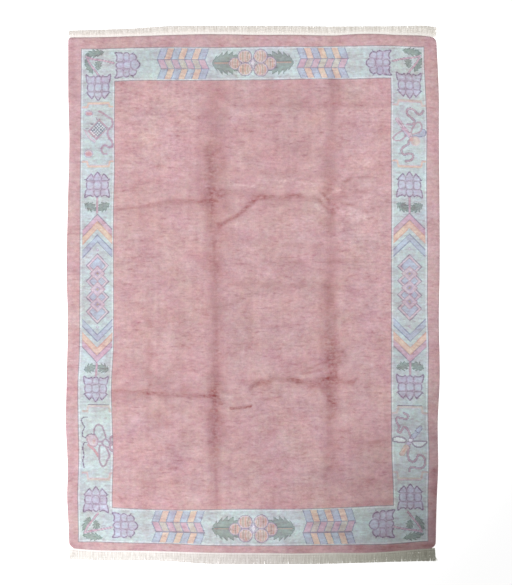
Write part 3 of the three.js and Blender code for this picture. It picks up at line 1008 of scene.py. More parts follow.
def herringbone(px, py, lean, end):
    """Three rows of slanted bars between the two lines of an end border."""
    paper = Sheet(px, py, HERRINGBONE_REACH)
    upper, lower = (4, 3) if end == "head" else (2, 1)
    middle = weave_at(px, py)[1]
    top = ALONG_PLACES[upper] / MM - middle - FROM_LINES
    bottom = ALONG_PLACES[lower] / MM - middle + FROM_LINES
    share = (top - paper.b) / (top - bottom)
    first, second = ROW_SHARES[0], ROW_SHARES[0] + ROW_SHARES[1]
    row = (share > first).astype(int) + (share > second)
    starts = np.array([0.0, first, second, 1.0])
    in_row = (share - starts[row]) / (starts[row + 1] - starts[row])
    slide = np.where(row == 1, in_row - 0.5, 0.5 - in_row) * BAR_LEAN * lean
    along = (paper.a - slide) / BAR + BARS / 2
    bar = np.floor(along).astype(int)
    valid = (share >= 0) & (share <= 1) & (bar >= 0) & (bar < BARS)
    for number, yarns in enumerate(ROW_YARNS):
        for odd, yarn in enumerate(yarns):
            paper.fill(valid & (row == number) & (bar % 2 == odd), yarn)
    from_side = np.abs(along - np.round(along)) * BAR
    near = (share >= 0) & (share <= 1) & (along > -PAST_ENDS) & (along < BARS + PAST_ENDS)
    paper.fill(near & (from_side < THIN_LINE), "slate")
    from_row = np.minimum(np.abs(share - first), np.abs(share - second)) * (top - bottom)
    paper.fill(near & (from_row < THIN_LINE), "mauve")


for row in HERRINGBONES:
    herringbone(**row)
print("herringbone bars", BARS * len(ROW_SHARES) * len(HERRINGBONES))

# %% [markdown]
# The middle of each end border has a spray of two long toothed leaves about six round petals.
# The petals are striped in rings, like ripples, with a small pale lozenge at the heart.

# %% Sprays of round petals
ROUND_PETALS = (
    dict(centre=(-82, -2), radii=(30, 29), ripple=0.5),
    dict(centre=(80, -3), radii=(31, 32), ripple=0.45),
    dict(centre=(-37, 29), radii=(34, 33), ripple=0.62),
    dict(centre=(-36, -29), radii=(34, 32), ripple=0.55),
    dict(centre=(36, 30), radii=(34, 33), ripple=0.42),
    dict(centre=(37, -31), radii=(34, 33), ripple=0.42),
)
RIPPLE = 11.0
RIPPLE_LEAN = 0.3
RIPPLE_SQUASH = 0.6
PETAL_WITHIN = 0.78
RIPPLE_WITHIN = 0.76
SPRAY_REACH = 200
SPRAY_LEAF = dict(half_width=58, teeth=6, fullness=0.6, cut=0.34)
SPRAY_LEAF_SPAN = (40, 190)
RIB_SPAN = (100, 178)
HEART_HALF = (11, 20)
HEART_RIM = 1.25
HEART_CORE = 0.85
SPRAYS = (dict(px=252.8, py=62.8), dict(px=253.4, py=528.6))


def spray(px, py):
    """Two long leaves, six rippled petals over them, and a lozenge at the heart."""
    paper = Sheet(px, py, SPRAY_REACH)
    for side in (-1, 1):
        base, tip = [(side * place, 0) for place in SPRAY_LEAF_SPAN]
        leaf(paper, base, tip, **SPRAY_LEAF)
        along_rib = (side * paper.a > RIB_SPAN[0]) & (side * paper.a < RIB_SPAN[1])
        paper.fill(along_rib & (np.abs(paper.b - LINE) < 2 * LINE), "deep_leaf")
        paper.fill(along_rib & (np.abs(paper.b) < LINE), "tan")
    for petal in ROUND_PETALS:
        reach = paper.oval(petal["centre"], petal["radii"], "pale_pink", "mauve")
        paper.fill(reach < PETAL_WITHIN, "petal")
        off_a = paper.a - RIPPLE_LEAN * petal["centre"][0]
        off_b = (paper.b - petal["centre"][1]) * RIPPLE_SQUASH
        rings = np.hypot(off_a, off_b) / RIPPLE
        ripple = (reach < RIPPLE_WITHIN) & (rings % 1 < petal["ripple"])
        paper.fill(ripple, "coral")
        paper.fill(ripple & (rings % 2 > 1), "tan")
    heart = np.abs(paper.a) / HEART_HALF[0] + np.abs(paper.b) / HEART_HALF[1]
    paper.fill(heart < HEART_RIM, "soft_mauve")
    paper.fill(heart < HEART_CORE, "white")


for row in SPRAYS:
    spray(**row)
print("sprays", len(SPRAYS), "of petals", len(ROUND_PETALS))

# %% [markdown]
# Halfway along each side is a long medallion. Three chevrons point outwards at each end, and
# between them runs a chain of four linked lozenges.

# %% Medallions
CHEVRON_SLOPE = 1.04
# The inner and the outer edge of each chevron's tip, in pixels from the middle.
CHEVRONS = (
    dict(inner=68, outer=75, yarn="magenta", line="mauve"),
    dict(inner=60.5, outer=67.5, yarn="apricot", line="coral"),
    dict(inner=47, outer=54, yarn="blue", line="slate"),
)
CHEVRON_LINE = 1.4 * THIN_LINE
CROSS_PLACE = 39 * PX
CROSS_SIZES = ((8, "soft_mauve"), (4, "pale"))
LOZENGE_HALF = (11.6 * PX, 12.2 * PX)
LOZENGE_RINGS = ((1, 0.052, "mauve"), (0.85, 0.10, "pale_pink"))
LOZENGE_CORES = ((0.75, "mauve"), (0.68, "blue"))
LINK_HALF = 4.4 * PX
LINK_SIZES = ((1.85, "stem"), (1.6, "pale_pink"), (0.8, "soft_mauve"), (0.4, "tan"))
MEDALLION_REACH = 365
MEDALLION_MARGIN = 3 * KNOT / MM
MEDALLIONS = (
    dict(px=97.5, py=288.4, lozenges=(265.7, 281.4, 297.2, 311.8)),
    dict(px=409.6, py=287.6, lozenges=(266.6, 280.9, 295.0, 308.5)),
)


def medallion(px, py, lozenges):
    """Chevrons at both ends of a chain of lozenges, whose places are given down the photograph."""
    paper = Sheet(px, py, MEDALLION_REACH)
    half_band = (ACROSS_PLACES[4] - ACROSS_PLACES[3]) / MM / 2 - MEDALLION_MARGIN
    within = np.abs(paper.a) < half_band
    for chevron in CHEVRONS:
        reach = np.abs(paper.b) + CHEVRON_SLOPE * np.abs(paper.a)
        inner, outer = chevron["inner"] * PX, chevron["outer"] * PX
        paper.fill(within & (reach > inner) & (reach < outer), chevron["yarn"])
        for side in (outer, inner):
            paper.fill(within & (np.abs(reach - side) < CHEVRON_LINE), chevron["line"])
    for end in (-1, 1):
        from_cross = np.abs(paper.a) + np.abs(paper.b - end * CROSS_PLACE)
        for size, yarn in CROSS_SIZES:
            paper.fill(from_cross < size, yarn)
    centres = [weave_at(px, y)[1] - weave_at(px, py)[1] for y in lozenges]
    across = np.abs(paper.a) / LOZENGE_HALF[0]
    shapes = [across + np.abs(paper.b - centre) / LOZENGE_HALF[1] for centre in centres]
    for reach in shapes:
        for ring, half, yarn in LOZENGE_RINGS:
            paper.fill(np.abs(reach - ring) < half, yarn)
    for reach in shapes:
        for size, yarn in LOZENGE_CORES:
            paper.fill(reach < size, yarn)
    for centre, following in zip(centres, centres[1:]):
        link = (centre + following) / 2
        reach = np.abs(paper.a) / LINK_HALF + np.abs(paper.b - link) / LINK_HALF
        for size, yarn in LINK_SIZES:
            paper.fill(reach < size, yarn)


for row in MEDALLIONS:
    medallion(**row)
print("medallions", len(MEDALLIONS), "with lozenges", sum(len(row["lozenges"]) for row in MEDALLIONS))

# %% [markdown]
# Above and below the medallions are four narrow panels, each between a pair of brackets. A
# bracket is a bar with two turned feet and a line of a second yarn inside it. Its places down
# the photograph are in one table, and its four places across are the same all down a side.

# %% Brackets round the panels
BRACKETS = (
    dict(side="left", bar=103.7, foot=107.4, yarn="apricot", line="beige"),
    dict(side="left", bar=166.2, foot=161.8, yarn="apricot", line="beige"),
    dict(side="left", bar=405.9, foot=411.2, yarn="beige", line="plum"),
    dict(side="left", bar=478.9, foot=472.6, yarn="petal", line="beige"),
    dict(side="right", bar=101.2, foot=105.4, yarn="petal", line="beige"),
    dict(side="right", bar=166.4, foot=161.2, yarn="apricot", line="beige"),
    dict(side="right", bar=407.0, foot=413.0, yarn="beige", line="plum"),
    dict(side="right", bar=478.4, foot=472.2, yarn="beige", line="stem"),
)
BRACKET_SPANS = dict(left=(82.4, 88.0, 109.0, 113.0), right=(393.6, 398.6, 421.0, 426.6))
BRACKET_REACH = 110
BRACKET_RIM = 5.2
BRACKET_CORE = 3.4
BRACKET_SHADE = 4


def bracket(side, bar, foot, yarn, line):
    """A bar with two feet, which point away from the bar towards the given row."""
    outer_a, inner_a, inner_b, outer_b = BRACKET_SPANS[side]
    middle = ((inner_a + inner_b) / 2, bar)
    points = pixels([
        (outer_a, foot), (inner_a - 1, foot), (inner_a, bar),
        (inner_b, bar), (inner_b + 1, foot), (outer_b, foot),
    ], middle)
    paper = Sheet(*middle, BRACKET_REACH)
    away = stroke(paper.a, paper.b, points)
    inner_way = 1 if foot > bar else -1
    line_above = [(a, b + BRACKET_SHADE * inner_way) for a, b in points[1:-1]]
    paper.fill(stroke(paper.a, paper.b, line_above) < BRACKET_SHADE, line)
    paper.fill(away < BRACKET_RIM, "pale_pink")
    paper.fill(away < BRACKET_CORE, yarn)


for row in BRACKETS:
    bracket(**row)
print("brackets", len(BRACKETS))

# %% [markdown]
# Each panel holds one of the old ribboned charms of such borders, no two alike: a tied tablet,
# tied wands, a gourd and a flute. A charm is a list of ribbons, plain shapes and ovals, laid one
# over another. Each has a few points, in pixels of the photograph, and one function draws all.

# %% Parts of a charm
CHARM_MIDDLES = dict(
    tablet=(97.5, 133.0), wands=(409.0, 135.0), gourd=(97.0, 442.0), flute=(409.0, 442.0),
)
CHARM_REACH = 150
RIBBON = 7.0
BERRY_HEART = (3.2, 2.6)
BERRY_DROP = 2
DOT_SPACING = 11.0
DOT_RADIUS = 0.36 * DOT_SPACING
TABLET_END = -12


def spot(paper, points, **values):
    """An oval about the one point given."""
    paper.oval(points[0], **values)


def berry(paper, points, radii):
    """A pale round berry with a pink heart set a little low. Its radii are in pixels."""
    (across, along), = points
    paper.oval((across, along), (radii[0] * PX, radii[1] * PX), "pale_pink", "soft_mauve")
    heart = (radii[0] * BERRY_HEART[0], radii[1] * BERRY_HEART[1])
    paper.oval((across, along - BERRY_DROP), heart, "pink")


def dotted_tablet(paper, points):
    """A dark tablet with straight sides, rows of pale dots and a plain end."""
    within, edge = paper.shape(points, "night", "stem", LINE, rounded=False)
    within = within & (edge > LINE)
    along = (paper.a + paper.b) / math.sqrt(2)
    across = (paper.a - paper.b) / math.sqrt(2)
    paper.fill(within & (along < TABLET_END), "stem")
    off_along = along % DOT_SPACING - DOT_SPACING / 2
    off_across = across % DOT_SPACING - DOT_SPACING / 2
    paper.fill(within & (np.hypot(off_along, off_across) < DOT_RADIUS), "pale")


def bow(paper, points):
    """A loop of ribbon with the ground showing through it and a darker line round it."""
    paper.shape(points, "ground", "stem", 1.5 * LINE)
    paper.shape(points, None, "mauve", THIN_LINE)


def charm(middle, parts):
    """Lays the parts of one charm, the lowest first."""
    paper = Sheet(*middle, CHARM_REACH)
    for draw_part, points, values in parts:
        draw_part(paper, pixels(points, middle), **values)
    return len(parts)


print("ribbon, mm", RIBBON, "dots of the tablet apart, mm", DOT_SPACING)

# %% Tied tablet
TABLET = (
    (Sheet.ribbon, [
        (99, 111.2), (103.4, 113.6), (108, 117.2), (112, 119.4), (113, 123.5), (112.4, 126.6),
        (108.8, 130.2), (107.8, 134.5), (109.8, 138.8), (112.4, 142.5), (112.8, 146.6),
        (109.5, 148), (106, 145.8), (103.2, 146.4), (101.6, 150), (103.2, 153.6), (106.8, 154.4),
    ], dict(yarn="stem", width=RIBBON, line="soft_mauve")),
    (berry, [(88.4, 113.2)], dict(radii=(4.4, 3.0))),
    (berry, [(88.4, 153.8)], dict(radii=(4.6, 4.2))),
    (Sheet.ribbon, [
        (84.6, 130.6), (88.6, 137), (94.6, 141.6),
    ], dict(yarn="pale_pink", width=7, line="soft_mauve")),
    (dotted_tablet, [(99.3, 119.8), (107.6, 128.4), (96.2, 139.6), (88.0, 131.4)], {}),
    (Sheet.ribbon, [(96, 117.6), (97, 119.6)], dict(yarn="mauve", width=2 * LINE)),
    (Sheet.ribbon, [(90.6, 124.2), (92.6, 124.2)], dict(yarn="mauve", width=2 * LINE)),
    (Sheet.ribbon, [(85.6, 128.6), (88, 128.2)], dict(yarn="mauve", width=2 * LINE)),
)
print("tied tablet, parts", charm(CHARM_MIDDLES["tablet"], TABLET))

# %% Tied wands
WAND_LOOP = dict(yarn="ground", line="stem", width=1.3 * LINE)
WANDS = (
    (Sheet.ribbon, [
        (423, 110.4), (421, 113.2), (417.4, 113.2), (414.4, 109.8), (410.4, 108.2), (407.2, 110.2),
        (408, 114.6), (412, 118), (414.4, 120.8), (412.6, 123.8), (407, 124.6),
    ], dict(yarn="stem", width=RIBBON, line="mauve")),
    (Sheet.ribbon, [
        (409, 141), (408.2, 144.2), (403.4, 147.4), (401.6, 151.6), (404.2, 154.8),
        (409, 153.6), (412.4, 154.4), (412.8, 158), (410, 160.6), (405.6, 161.4),
    ], dict(yarn="stem", width=RIBBON, line="mauve")),
    (Sheet.shape, [
        (412.6, 134.6), (416.5, 130.6), (424.2, 129.2), (424.4, 134.8), (418, 136),
    ], dict(yarn="blue", line="slate", width=THIN_LINE)),
    (Sheet.shape, [
        (404, 131.4), (399, 133.2), (393.8, 138.2), (396, 141), (401.4, 140.4), (405, 136.6),
    ], WAND_LOOP),
    (Sheet.shape, [
        (411.4, 133.4), (412.6, 127.6), (416, 122.8), (419.4, 121.6), (421.4, 125.6), (419.4, 131.4),
    ], WAND_LOOP),
    (spot, [(415.0, 140.8)], dict(radii=(23, 23), yarn="petal", line="pale_pink")),
    (Sheet.ribbon, [
        (398.0, 120.0), (403.4, 127.6), (409.6, 135), (411.4, 138.4),
    ], dict(yarn="pale_pink", width=17, line="stem")),
    (Sheet.ribbon, [(398.6, 121.0), (403.0, 127.0)], dict(yarn="stem", width=4)),
    (Sheet.ribbon, [(403.6, 129.0), (409.0, 135.6)], dict(yarn="magenta", width=17, line="mauve")),
    (Sheet.ribbon, [(404.4, 131.4), (408.4, 136.4)], dict(yarn="lilac", width=5)),
    (spot, [(411.4, 139.4)], dict(radii=(9, 9), yarn="pink", line="coral")),
)
print("tied wands, parts", charm(CHARM_MIDDLES["wands"], WANDS))

# %% Tied gourd
GOURD = (
    (Sheet.ribbon, [
        (87.8, 417), (83.4, 417.4), (82, 421), (84.6, 427), (83, 431), (82.6, 436), (88, 438.4),
    ], dict(yarn="plum", width=5.4)),
    (Sheet.ribbon, [
        (88.4, 442.4), (83.8, 443), (82.6, 449), (83.6, 455), (82.6, 461), (84, 468),
    ], dict(yarn="plum", width=5.4)),
    (Sheet.ribbon, [(88.6, 445), (93.6, 449.6), (98, 456)], dict(yarn="pink", width=9, line="stem")),
    (bow, [
        (96.4, 440), (94.4, 433.4), (95, 428), (98.2, 424.4), (102.4, 426), (104.8, 432),
        (105.8, 438.4), (101, 441.4),
    ], {}),
    (bow, [
        (99.6, 446), (99, 454), (99.4, 461), (102, 466), (105.2, 465), (107.2, 459.6),
        (109.4, 455.6), (107.2, 449.6), (104, 445),
    ], {}),
    (bow, [(102, 442.4), (105.4, 438.8), (109.4, 442), (108.6, 447), (104, 445.4)], {}),
    (Sheet.ribbon, [
        (112.4, 435.6), (110.4, 438.6), (111.6, 443), (109.6, 447.4), (112, 450.4),
    ], dict(yarn="stem", width=RIBBON, line="mauve")),
    (Sheet.shape, [
        (87, 435.4), (92, 434), (96.4, 436.6), (98, 441), (95.8, 446), (90.4, 445.6), (87.2, 441),
    ], dict(yarn="pale_pink", line="stem", width=LINE)),
    (spot, [(94.0, 441)], dict(radii=(8, 13), yarn="pink", line="petal")),
    (Sheet.ribbon, [(86.4, 436), (91, 433.8), (95.4, 434.4)], dict(yarn="plum", width=4)),
)
print("tied gourd, parts", charm(CHARM_MIDDLES["gourd"], GOURD))

# %% Tied flute
FLUTE = (
    (Sheet.ribbon, [
        (404.6, 413), (408.4, 415.2), (407.6, 418.6), (402.4, 418.4), (398, 417.8), (397.6, 422),
        (400, 427), (398.4, 431), (401, 432.8), (403.2, 428.4), (406, 427), (408.6, 431),
        (410.6, 436.4),
    ], dict(yarn="stem", width=RIBBON, line="mauve")),
    (Sheet.ribbon, [
        (409, 447), (407.8, 453), (408.4, 459), (412, 462), (415.8, 459), (417.4, 455),
        (421, 455.2), (423.6, 460), (423, 466), (419, 468.6), (412.6, 467.4), (409.8, 467.8),
        (409, 471.4),
    ], dict(yarn="stem", width=RIBBON, line="mauve")),
    (Sheet.shape, [
        (406, 439.4), (401, 437), (395, 437.4), (394, 441), (400, 442.4), (405, 442.4),
    ], dict(yarn="pale", line="mauve", width=1.2 * LINE)),
    (Sheet.shape, [
        (412, 441.4), (418, 441), (425.4, 441.4), (423.4, 444.8), (418.4, 447.2), (413.6, 445.4),
    ], dict(yarn="pale", line="mauve", width=1.2 * LINE)),
    (Sheet.ribbon, [(419.2, 428.8), (412.6, 437.4)], dict(yarn="blue", width=17, line="slate")),
    (Sheet.ribbon, [(419.8, 427.6), (417.6, 430.4)], dict(yarn="ice", width=16, line="plum")),
    (Sheet.ribbon, [(411.4, 438.6), (406.8, 446.6)], dict(yarn="lilac", width=16, line="mauve")),
    (Sheet.ribbon, [(406.4, 447.2), (402.4, 453.6)], dict(yarn="petal", width=20, line="tan")),
    (Sheet.ribbon, [(405.4, 448.8), (403.4, 452.0)], dict(yarn="coral", width=6)),
    (spot, [(410.4, 440)], dict(radii=(13, 11), yarn="white", line="mauve")),
)
print("tied flute, parts", charm(CHARM_MIDDLES["flute"], FLUTE))

# %% [markdown]
# Motifs may have run a knot or two over their border. So the guard and the field are filled in
# once more, and the thin dark line along both edges of the border is woven last.

# %% Guard, field and edge lines
chart[band_depth < 0] = YARN_NUMBER["guard_rose"]
chart[field_depth >= 0] = YARN_NUMBER["rose"]
chart[(band_depth == 0) | ((field_depth == -1) & (band_depth > 0))] = YARN_NUMBER["edge"]
print("yarns used", sorted(name for name, number in YARN_NUMBER.items() if (chart == number).any()))

# %% [markdown]
# Now the grid becomes a mesh. Where a patch of four by four knots has one yarn and even shade it
# stays one face, and elsewhere it is cut down, to single knots where it has to be. A face keeps
# every corner that a neighbour has on its edge, so no crack opens. The pile's edge rounds over
# in its last rows.

# %% Faces of the top
PATCH = 4
SHADE_STEP = 0.045


def bend_in_patches(values, axis):
    """How far a value strays from straight across each patch, along one axis of the grid."""
    strayed = np.abs(np.diff(values, n=2, axis=axis))
    rows, columns = ALONG_COUNT // PATCH, ACROSS_COUNT // PATCH
    full = np.zeros((ALONG_COUNT, ACROSS_COUNT))
    if axis == 0:
        full[1:, :] = strayed[:, :-1]
    else:
        full[:, 1:] = strayed[:-1, :]
    split = full.reshape(rows, PATCH, columns, PATCH)
    return split.sum(axis=1 if axis == 0 else 3).max(axis=1 if axis == 1 else 2)


def patches_to_faces():
    """Faces of the top as rectangles of knots: first column, first row, last column, last row."""
    rows, columns = ALONG_COUNT // PATCH, ACROSS_COUNT // PATCH
    split = chart.reshape(rows, PATCH, columns, PATCH).transpose(0, 2, 1, 3)
    same_in_rows = (split == split[..., :1]).all(axis=(2, 3))
    same_in_columns = (split == split[..., :1, :]).all(axis=(2, 3))
    same_in_rows &= bend_in_patches(grid_shade, 1) < SHADE_STEP
    same_in_columns &= bend_in_patches(grid_shade, 0) < SHADE_STEP
    faces = []
    for r in range(rows):
        for c in range(columns):
            j, i = r * PATCH, c * PATCH
            side_rim = c in (0, columns - 1)
            end_rim = r in (0, rows - 1)
            by_rows = same_in_rows[r, c] and not side_rim
            by_columns = same_in_columns[r, c] and not end_rim
            if by_rows and by_columns:
                faces.append((i, j, i + PATCH, j + PATCH))
            elif by_columns:
                faces += [(i + k, j, i + k + 1, j + PATCH) for k in range(PATCH)]
            elif by_rows:
                faces += [(i, j + k, i + PATCH, j + k + 1) for k in range(PATCH)]
            else:
                smooth = same_in_rows[r, c] or same_in_columns[r, c]
                one_yarn = (split[r, c] == split[r, c, 0, 0]).all()
                faces += runs(split[r, c], i, j, side_rim or end_rim or (one_yarn and not smooth))
    return faces


def runs(patch, i, j, every_knot):
    """Stretches of one yarn in each row of a patch."""
    faces = []
    for k in range(PATCH):
        start = 0
        for end in range(1, PATCH + 1):
            if end == PATCH or every_knot or patch[k, end] != patch[k, start]:
                faces.append((i + start, j + k, i + end, j + k + 1))
                start = end
    return faces


top_faces = patches_to_faces()
print("top faces", len(top_faces))


# %% Grid points that the faces use
def polygons(faces, used):
    """Each rectangle as the loop of used grid points round it, anticlockwise from above."""
    loops = []
    for i0, j0, i1, j1 in faces:
        loop = [(i, j0) for i in range(i0, i1) if used[j0, i]]
        loop += [(i1, j) for j in range(j0, j1) if used[j, i1]]
        loop += [(i, j1) for i in range(i1, i0, -1) if used[j1, i]]
        loop += [(i0, j) for j in range(j1, j0, -1) if used[j, i0]]
        loops.append(loop)
    return loops


def mark_used(faces):
    """Which grid points are a corner of some face."""
    used = np.zeros((ALONG_COUNT + 1, ACROSS_COUNT + 1), bool)
    f = np.array(faces)
    for column in (0, 2):
        for row in (1, 3):
            used[f[:, row], f[:, column]] = True
    return used


def rim_walk():
    """Grid points round the rug's edge, anticlockwise from above."""
    last_i, last_j = ACROSS_COUNT, ALONG_COUNT
    walk = [(i, 0) for i in range(last_i)] + [(last_i, j) for j in range(last_j)]
    walk += [(i, last_j) for i in range(last_i, 0, -1)] + [(0, j) for j in range(last_j, 0, -1)]
    return walk


UNDER_PATCH = 8
top_used = mark_used(top_faces)
under_faces = [
    (i, j, min(i + UNDER_PATCH, ACROSS_COUNT), min(j + UNDER_PATCH, ALONG_COUNT))
    for j in range(0, ALONG_COUNT, UNDER_PATCH) for i in range(0, ACROSS_COUNT, UNDER_PATCH)
]
under_used = mark_used(under_faces)
rim = [(i, j) for i, j in rim_walk() if top_used[j, i]]
for i, j in rim_walk():
    under_used[j, i] = top_used[j, i]
print("points on top", int(top_used.sum()), "under", int(under_used.sum()), "rim", len(rim))

# %% Places and heights of the points
SHOULDER_DROP = 6.0 * MM
SHOULDER_REACH = 3.6 * MM
TUFT = 0.12 * MM
TUFT_SEED = 7
from_rim = np.minimum(
    np.minimum(grid_i, ACROSS_COUNT - grid_i)[None, :],
    np.minimum(grid_j, ALONG_COUNT - grid_j)[:, None],
) * KNOT
tuft = np.random.default_rng(TUFT_SEED).normal(0, TUFT, grid_height.shape)
top_z = grid_height + tuft - SHOULDER_DROP * np.exp(-from_rim / SHOULDER_REACH)
real_x, real_y = grid_x + shift_x, grid_y + shift_y
under_count = int(under_used.sum())
vertices = np.vstack([
    np.column_stack([real_x[top_used], real_y[top_used], top_z[top_used]]),
    np.column_stack([real_x[under_used], real_y[under_used], np.zeros(under_count)]),
])
weave_points = np.vstack([np.argwhere(top_used)[:, ::-1], np.argwhere(under_used)[:, ::-1]])
shade_points = np.concatenate([grid_shade[top_used], np.zeros(under_count)])
print("pile's edge stands, mm", top_z[:, 0].min() / MM, "to", top_z[:, 0].max() / MM)


# %% The body as one closed mesh
def number_points(used, start):
    """The number of each used grid point in the mesh, counted from a start."""
    numbers = np.full(used.shape, -1)
    numbers[used] = np.arange(used.sum()) + start
    return numbers


top_number = number_points(top_used, 0)
under_number = number_points(under_used, int(top_used.sum()))
face_loops = [[int(top_number[j, i]) for i, j in loop] for loop in polygons(top_faces, top_used)]
face_yarns = [int(chart[j0, i0]) for i0, j0, _, _ in top_faces]
top_count = len(face_loops)
for here, following in zip(rim, rim[1:] + rim[:1]):
    (i, j), (k, m) = here, following
    corners = (top_number[j, i], under_number[j, i], under_number[m, k], top_number[m, k])
    face_loops.append([int(number) for number in corners])
    face_yarns.append(YARN_NUMBER["guard_rose"])
wall_count = len(face_loops) - top_count
for loop, (i0, j0, i1, j1) in zip(polygons(under_faces, under_used), under_faces):
    face_loops.append([int(under_number[j, i]) for i, j in loop][::-1])
    face_yarns.append(int(chart[(j0 + j1) // 2, (i0 + i1) // 2]))

rug_mesh = bpy.data.meshes.new("rug_pile")
rug_mesh.from_pydata(vertices.tolist(), [], face_loops)
rug = bpy.data.objects.new("rug_pile", rug_mesh)
bpy.context.collection.objects.link(rug)
rug_mesh.shade_smooth()
print("faces", len(face_loops), "triangles", sum(len(loop) - 2 for loop in face_loops))

# %% [markdown]
# The mesh carries what the wool needs to know: the yarn of each knot as a colour, dimmed or
# brightened in patches by painted shade and light, the painted shade of its pile, the knot's
# place in the weave, and a flat map for anyone who bakes it. In that map the top has most of
# the room, the underside and the edge have the rest.

# %% Yarn colours with painted dimming, and painted crease shade
PALETTE = np.array([np.append(linear(colour), 1.0) for colour in YARNS.values()])
loop_totals = np.array([len(loop) for loop in face_loops])
loop_vertices = np.concatenate([np.array(loop) for loop in face_loops])
yarn_colours = rug_mesh.color_attributes.new("yarn", "FLOAT_COLOR", "CORNER")
loop_colours = np.repeat(PALETTE[np.array(face_yarns)], loop_totals, axis=0)
loop_knots = weave_points[loop_vertices]
# The painted dimming patches, shade and light, are multiplied into the yarn colours.
loop_dimmed = grid_dimmed[loop_knots[:, 1], loop_knots[:, 0]]
loop_colours[:, :3] *= 1 - loop_dimmed[:, None]
yarn_colours.data.foreach_set("color", loop_colours.astype(np.float32).ravel())
shade_values = rug_mesh.attributes.new("shade", "FLOAT", "POINT")
shade_values.data.foreach_set("value", shade_points.astype(np.float32))
print("corners coloured", len(loop_colours), "yarns", len(PALETTE))

# %% Weave map and flat map
TOP_SHARE = 0.70
MARGIN = 0.005
REST_LEFT = TOP_SHARE + 3 * MARGIN
REST_WIDTH = 0.27
UNDER_LOW = 0.5
UNDER_TALL = 0.38
WALL_LOW = 0.02
WALL_TALL = 0.44
WALL_ROWS = 16
WALL_ROW_FILL = 0.75
weave_map = rug_mesh.uv_layers.new(name="Weave")
weave_map.data.foreach_set("uv", loop_knots.astype(np.float32).ravel())
bake_map = rug_mesh.uv_layers.new(name="OFBake")
flat = loop_knots / np.array([ACROSS_COUNT, ALONG_COUNT])
part_counts = [top_count, wall_count, len(face_loops) - top_count - wall_count]
loop_part = np.repeat(np.repeat(["top", "wall", "under"], part_counts), loop_totals)
bake = MARGIN + flat * np.array([TOP_SHARE, 1 - 2 * MARGIN])
under = loop_part == "under"
bake[under] = np.array([REST_LEFT, UNDER_LOW]) + flat[under] * np.array([REST_WIDTH, UNDER_TALL])
wall_corner = np.tile(np.arange(4), wall_count)
wall_number = np.repeat(np.arange(wall_count), 4)
per_row = math.ceil(wall_count / WALL_ROWS)
along_row = (wall_number % per_row + (wall_corner >= 2)) / per_row
upper_corner = (wall_corner == 0) | (wall_corner == 3)
row_low = WALL_LOW + WALL_TALL * (wall_number // per_row + WALL_ROW_FILL * upper_corner) / WALL_ROWS
bake[loop_part == "wall"] = np.column_stack([REST_LEFT + REST_WIDTH * along_row, row_low])
bake_map.data.foreach_set("uv", bake.astype(np.float32).ravel())
print("maps", [layer.name for layer in rug_mesh.uv_layers])

# %% [markdown]
# Wool is made from a few effects that several materials share, so each is a node group. One puts
# the grain of single knots into a colour and gives their height. One gives fibre fuzz. A few
# helpers keep the node code short.

# %% Node helpers
def new_node(tree, kind, **settings):
    """A node with its settings."""
    node = tree.nodes.new(kind)
    for name, value in settings.items():
        setattr(node, name, value)
    return node


def wire(tree, source, target):
    """Links one node's output to another node's input."""
    tree.links.new(source, target)


def math_node(tree, operation, first, second=None, clamp=False):
    """One sum on values or on other nodes' outputs."""
    node = new_node(tree, "ShaderNodeMath", operation=operation, use_clamp=clamp)
    for socket, value in zip(node.inputs, (first, second)):
        if value is None:
            continue
        if isinstance(value, (int, float)):
            socket.default_value = value
        else:
            wire(tree, value, socket)
    return node.outputs[0]


def noise(tree, vector, scale, detail, stretch):
    """Noise on a vector that is first stretched by three factors."""
    mapping = new_node(tree, "ShaderNodeMapping", vector_type="POINT")
    mapping.inputs["Scale"].default_value = stretch
    wire(tree, vector, mapping.inputs["Vector"])
    node = new_node(tree, "ShaderNodeTexNoise")
    node.inputs["Scale"].default_value = scale
    node.inputs["Detail"].default_value = detail
    wire(tree, mapping.outputs[0], node.inputs["Vector"])
    return node.outputs["Fac"]


def new_group(name, inputs, outputs):
    """An empty node group with named sockets."""
    tree = bpy.data.node_groups.new(name, "ShaderNodeTree")
    for label, kind, value in inputs:
        socket = tree.interface.new_socket(label, in_out="INPUT", socket_type=kind)
        if value is not None:
            socket.default_value = value
    for label, kind in outputs:
        tree.interface.new_socket(label, in_out="OUTPUT", socket_type=kind)
    return tree, tree.nodes.new("NodeGroupInput"), tree.nodes.new("NodeGroupOutput")


def scaled_colour(tree, colour, factor):
    """A colour made lighter or darker by a factor that varies over the surface."""
    node = new_node(tree, "ShaderNodeVectorMath", operation="SCALE")
    wire(tree, colour, node.inputs[0])
    wire(tree, factor, node.inputs["Scale"])
    return node.outputs[0]


print("node groups so far", len(bpy.data.node_groups))

# %% Knot grain, a shared group
ROW_NOISE = dict(scale=1.0, detail=3.0, stretch=(0.07, 0.42, 1.0))
RIDGE_ACROSS = 0.35
RIDGE_DEPTH = 0.3


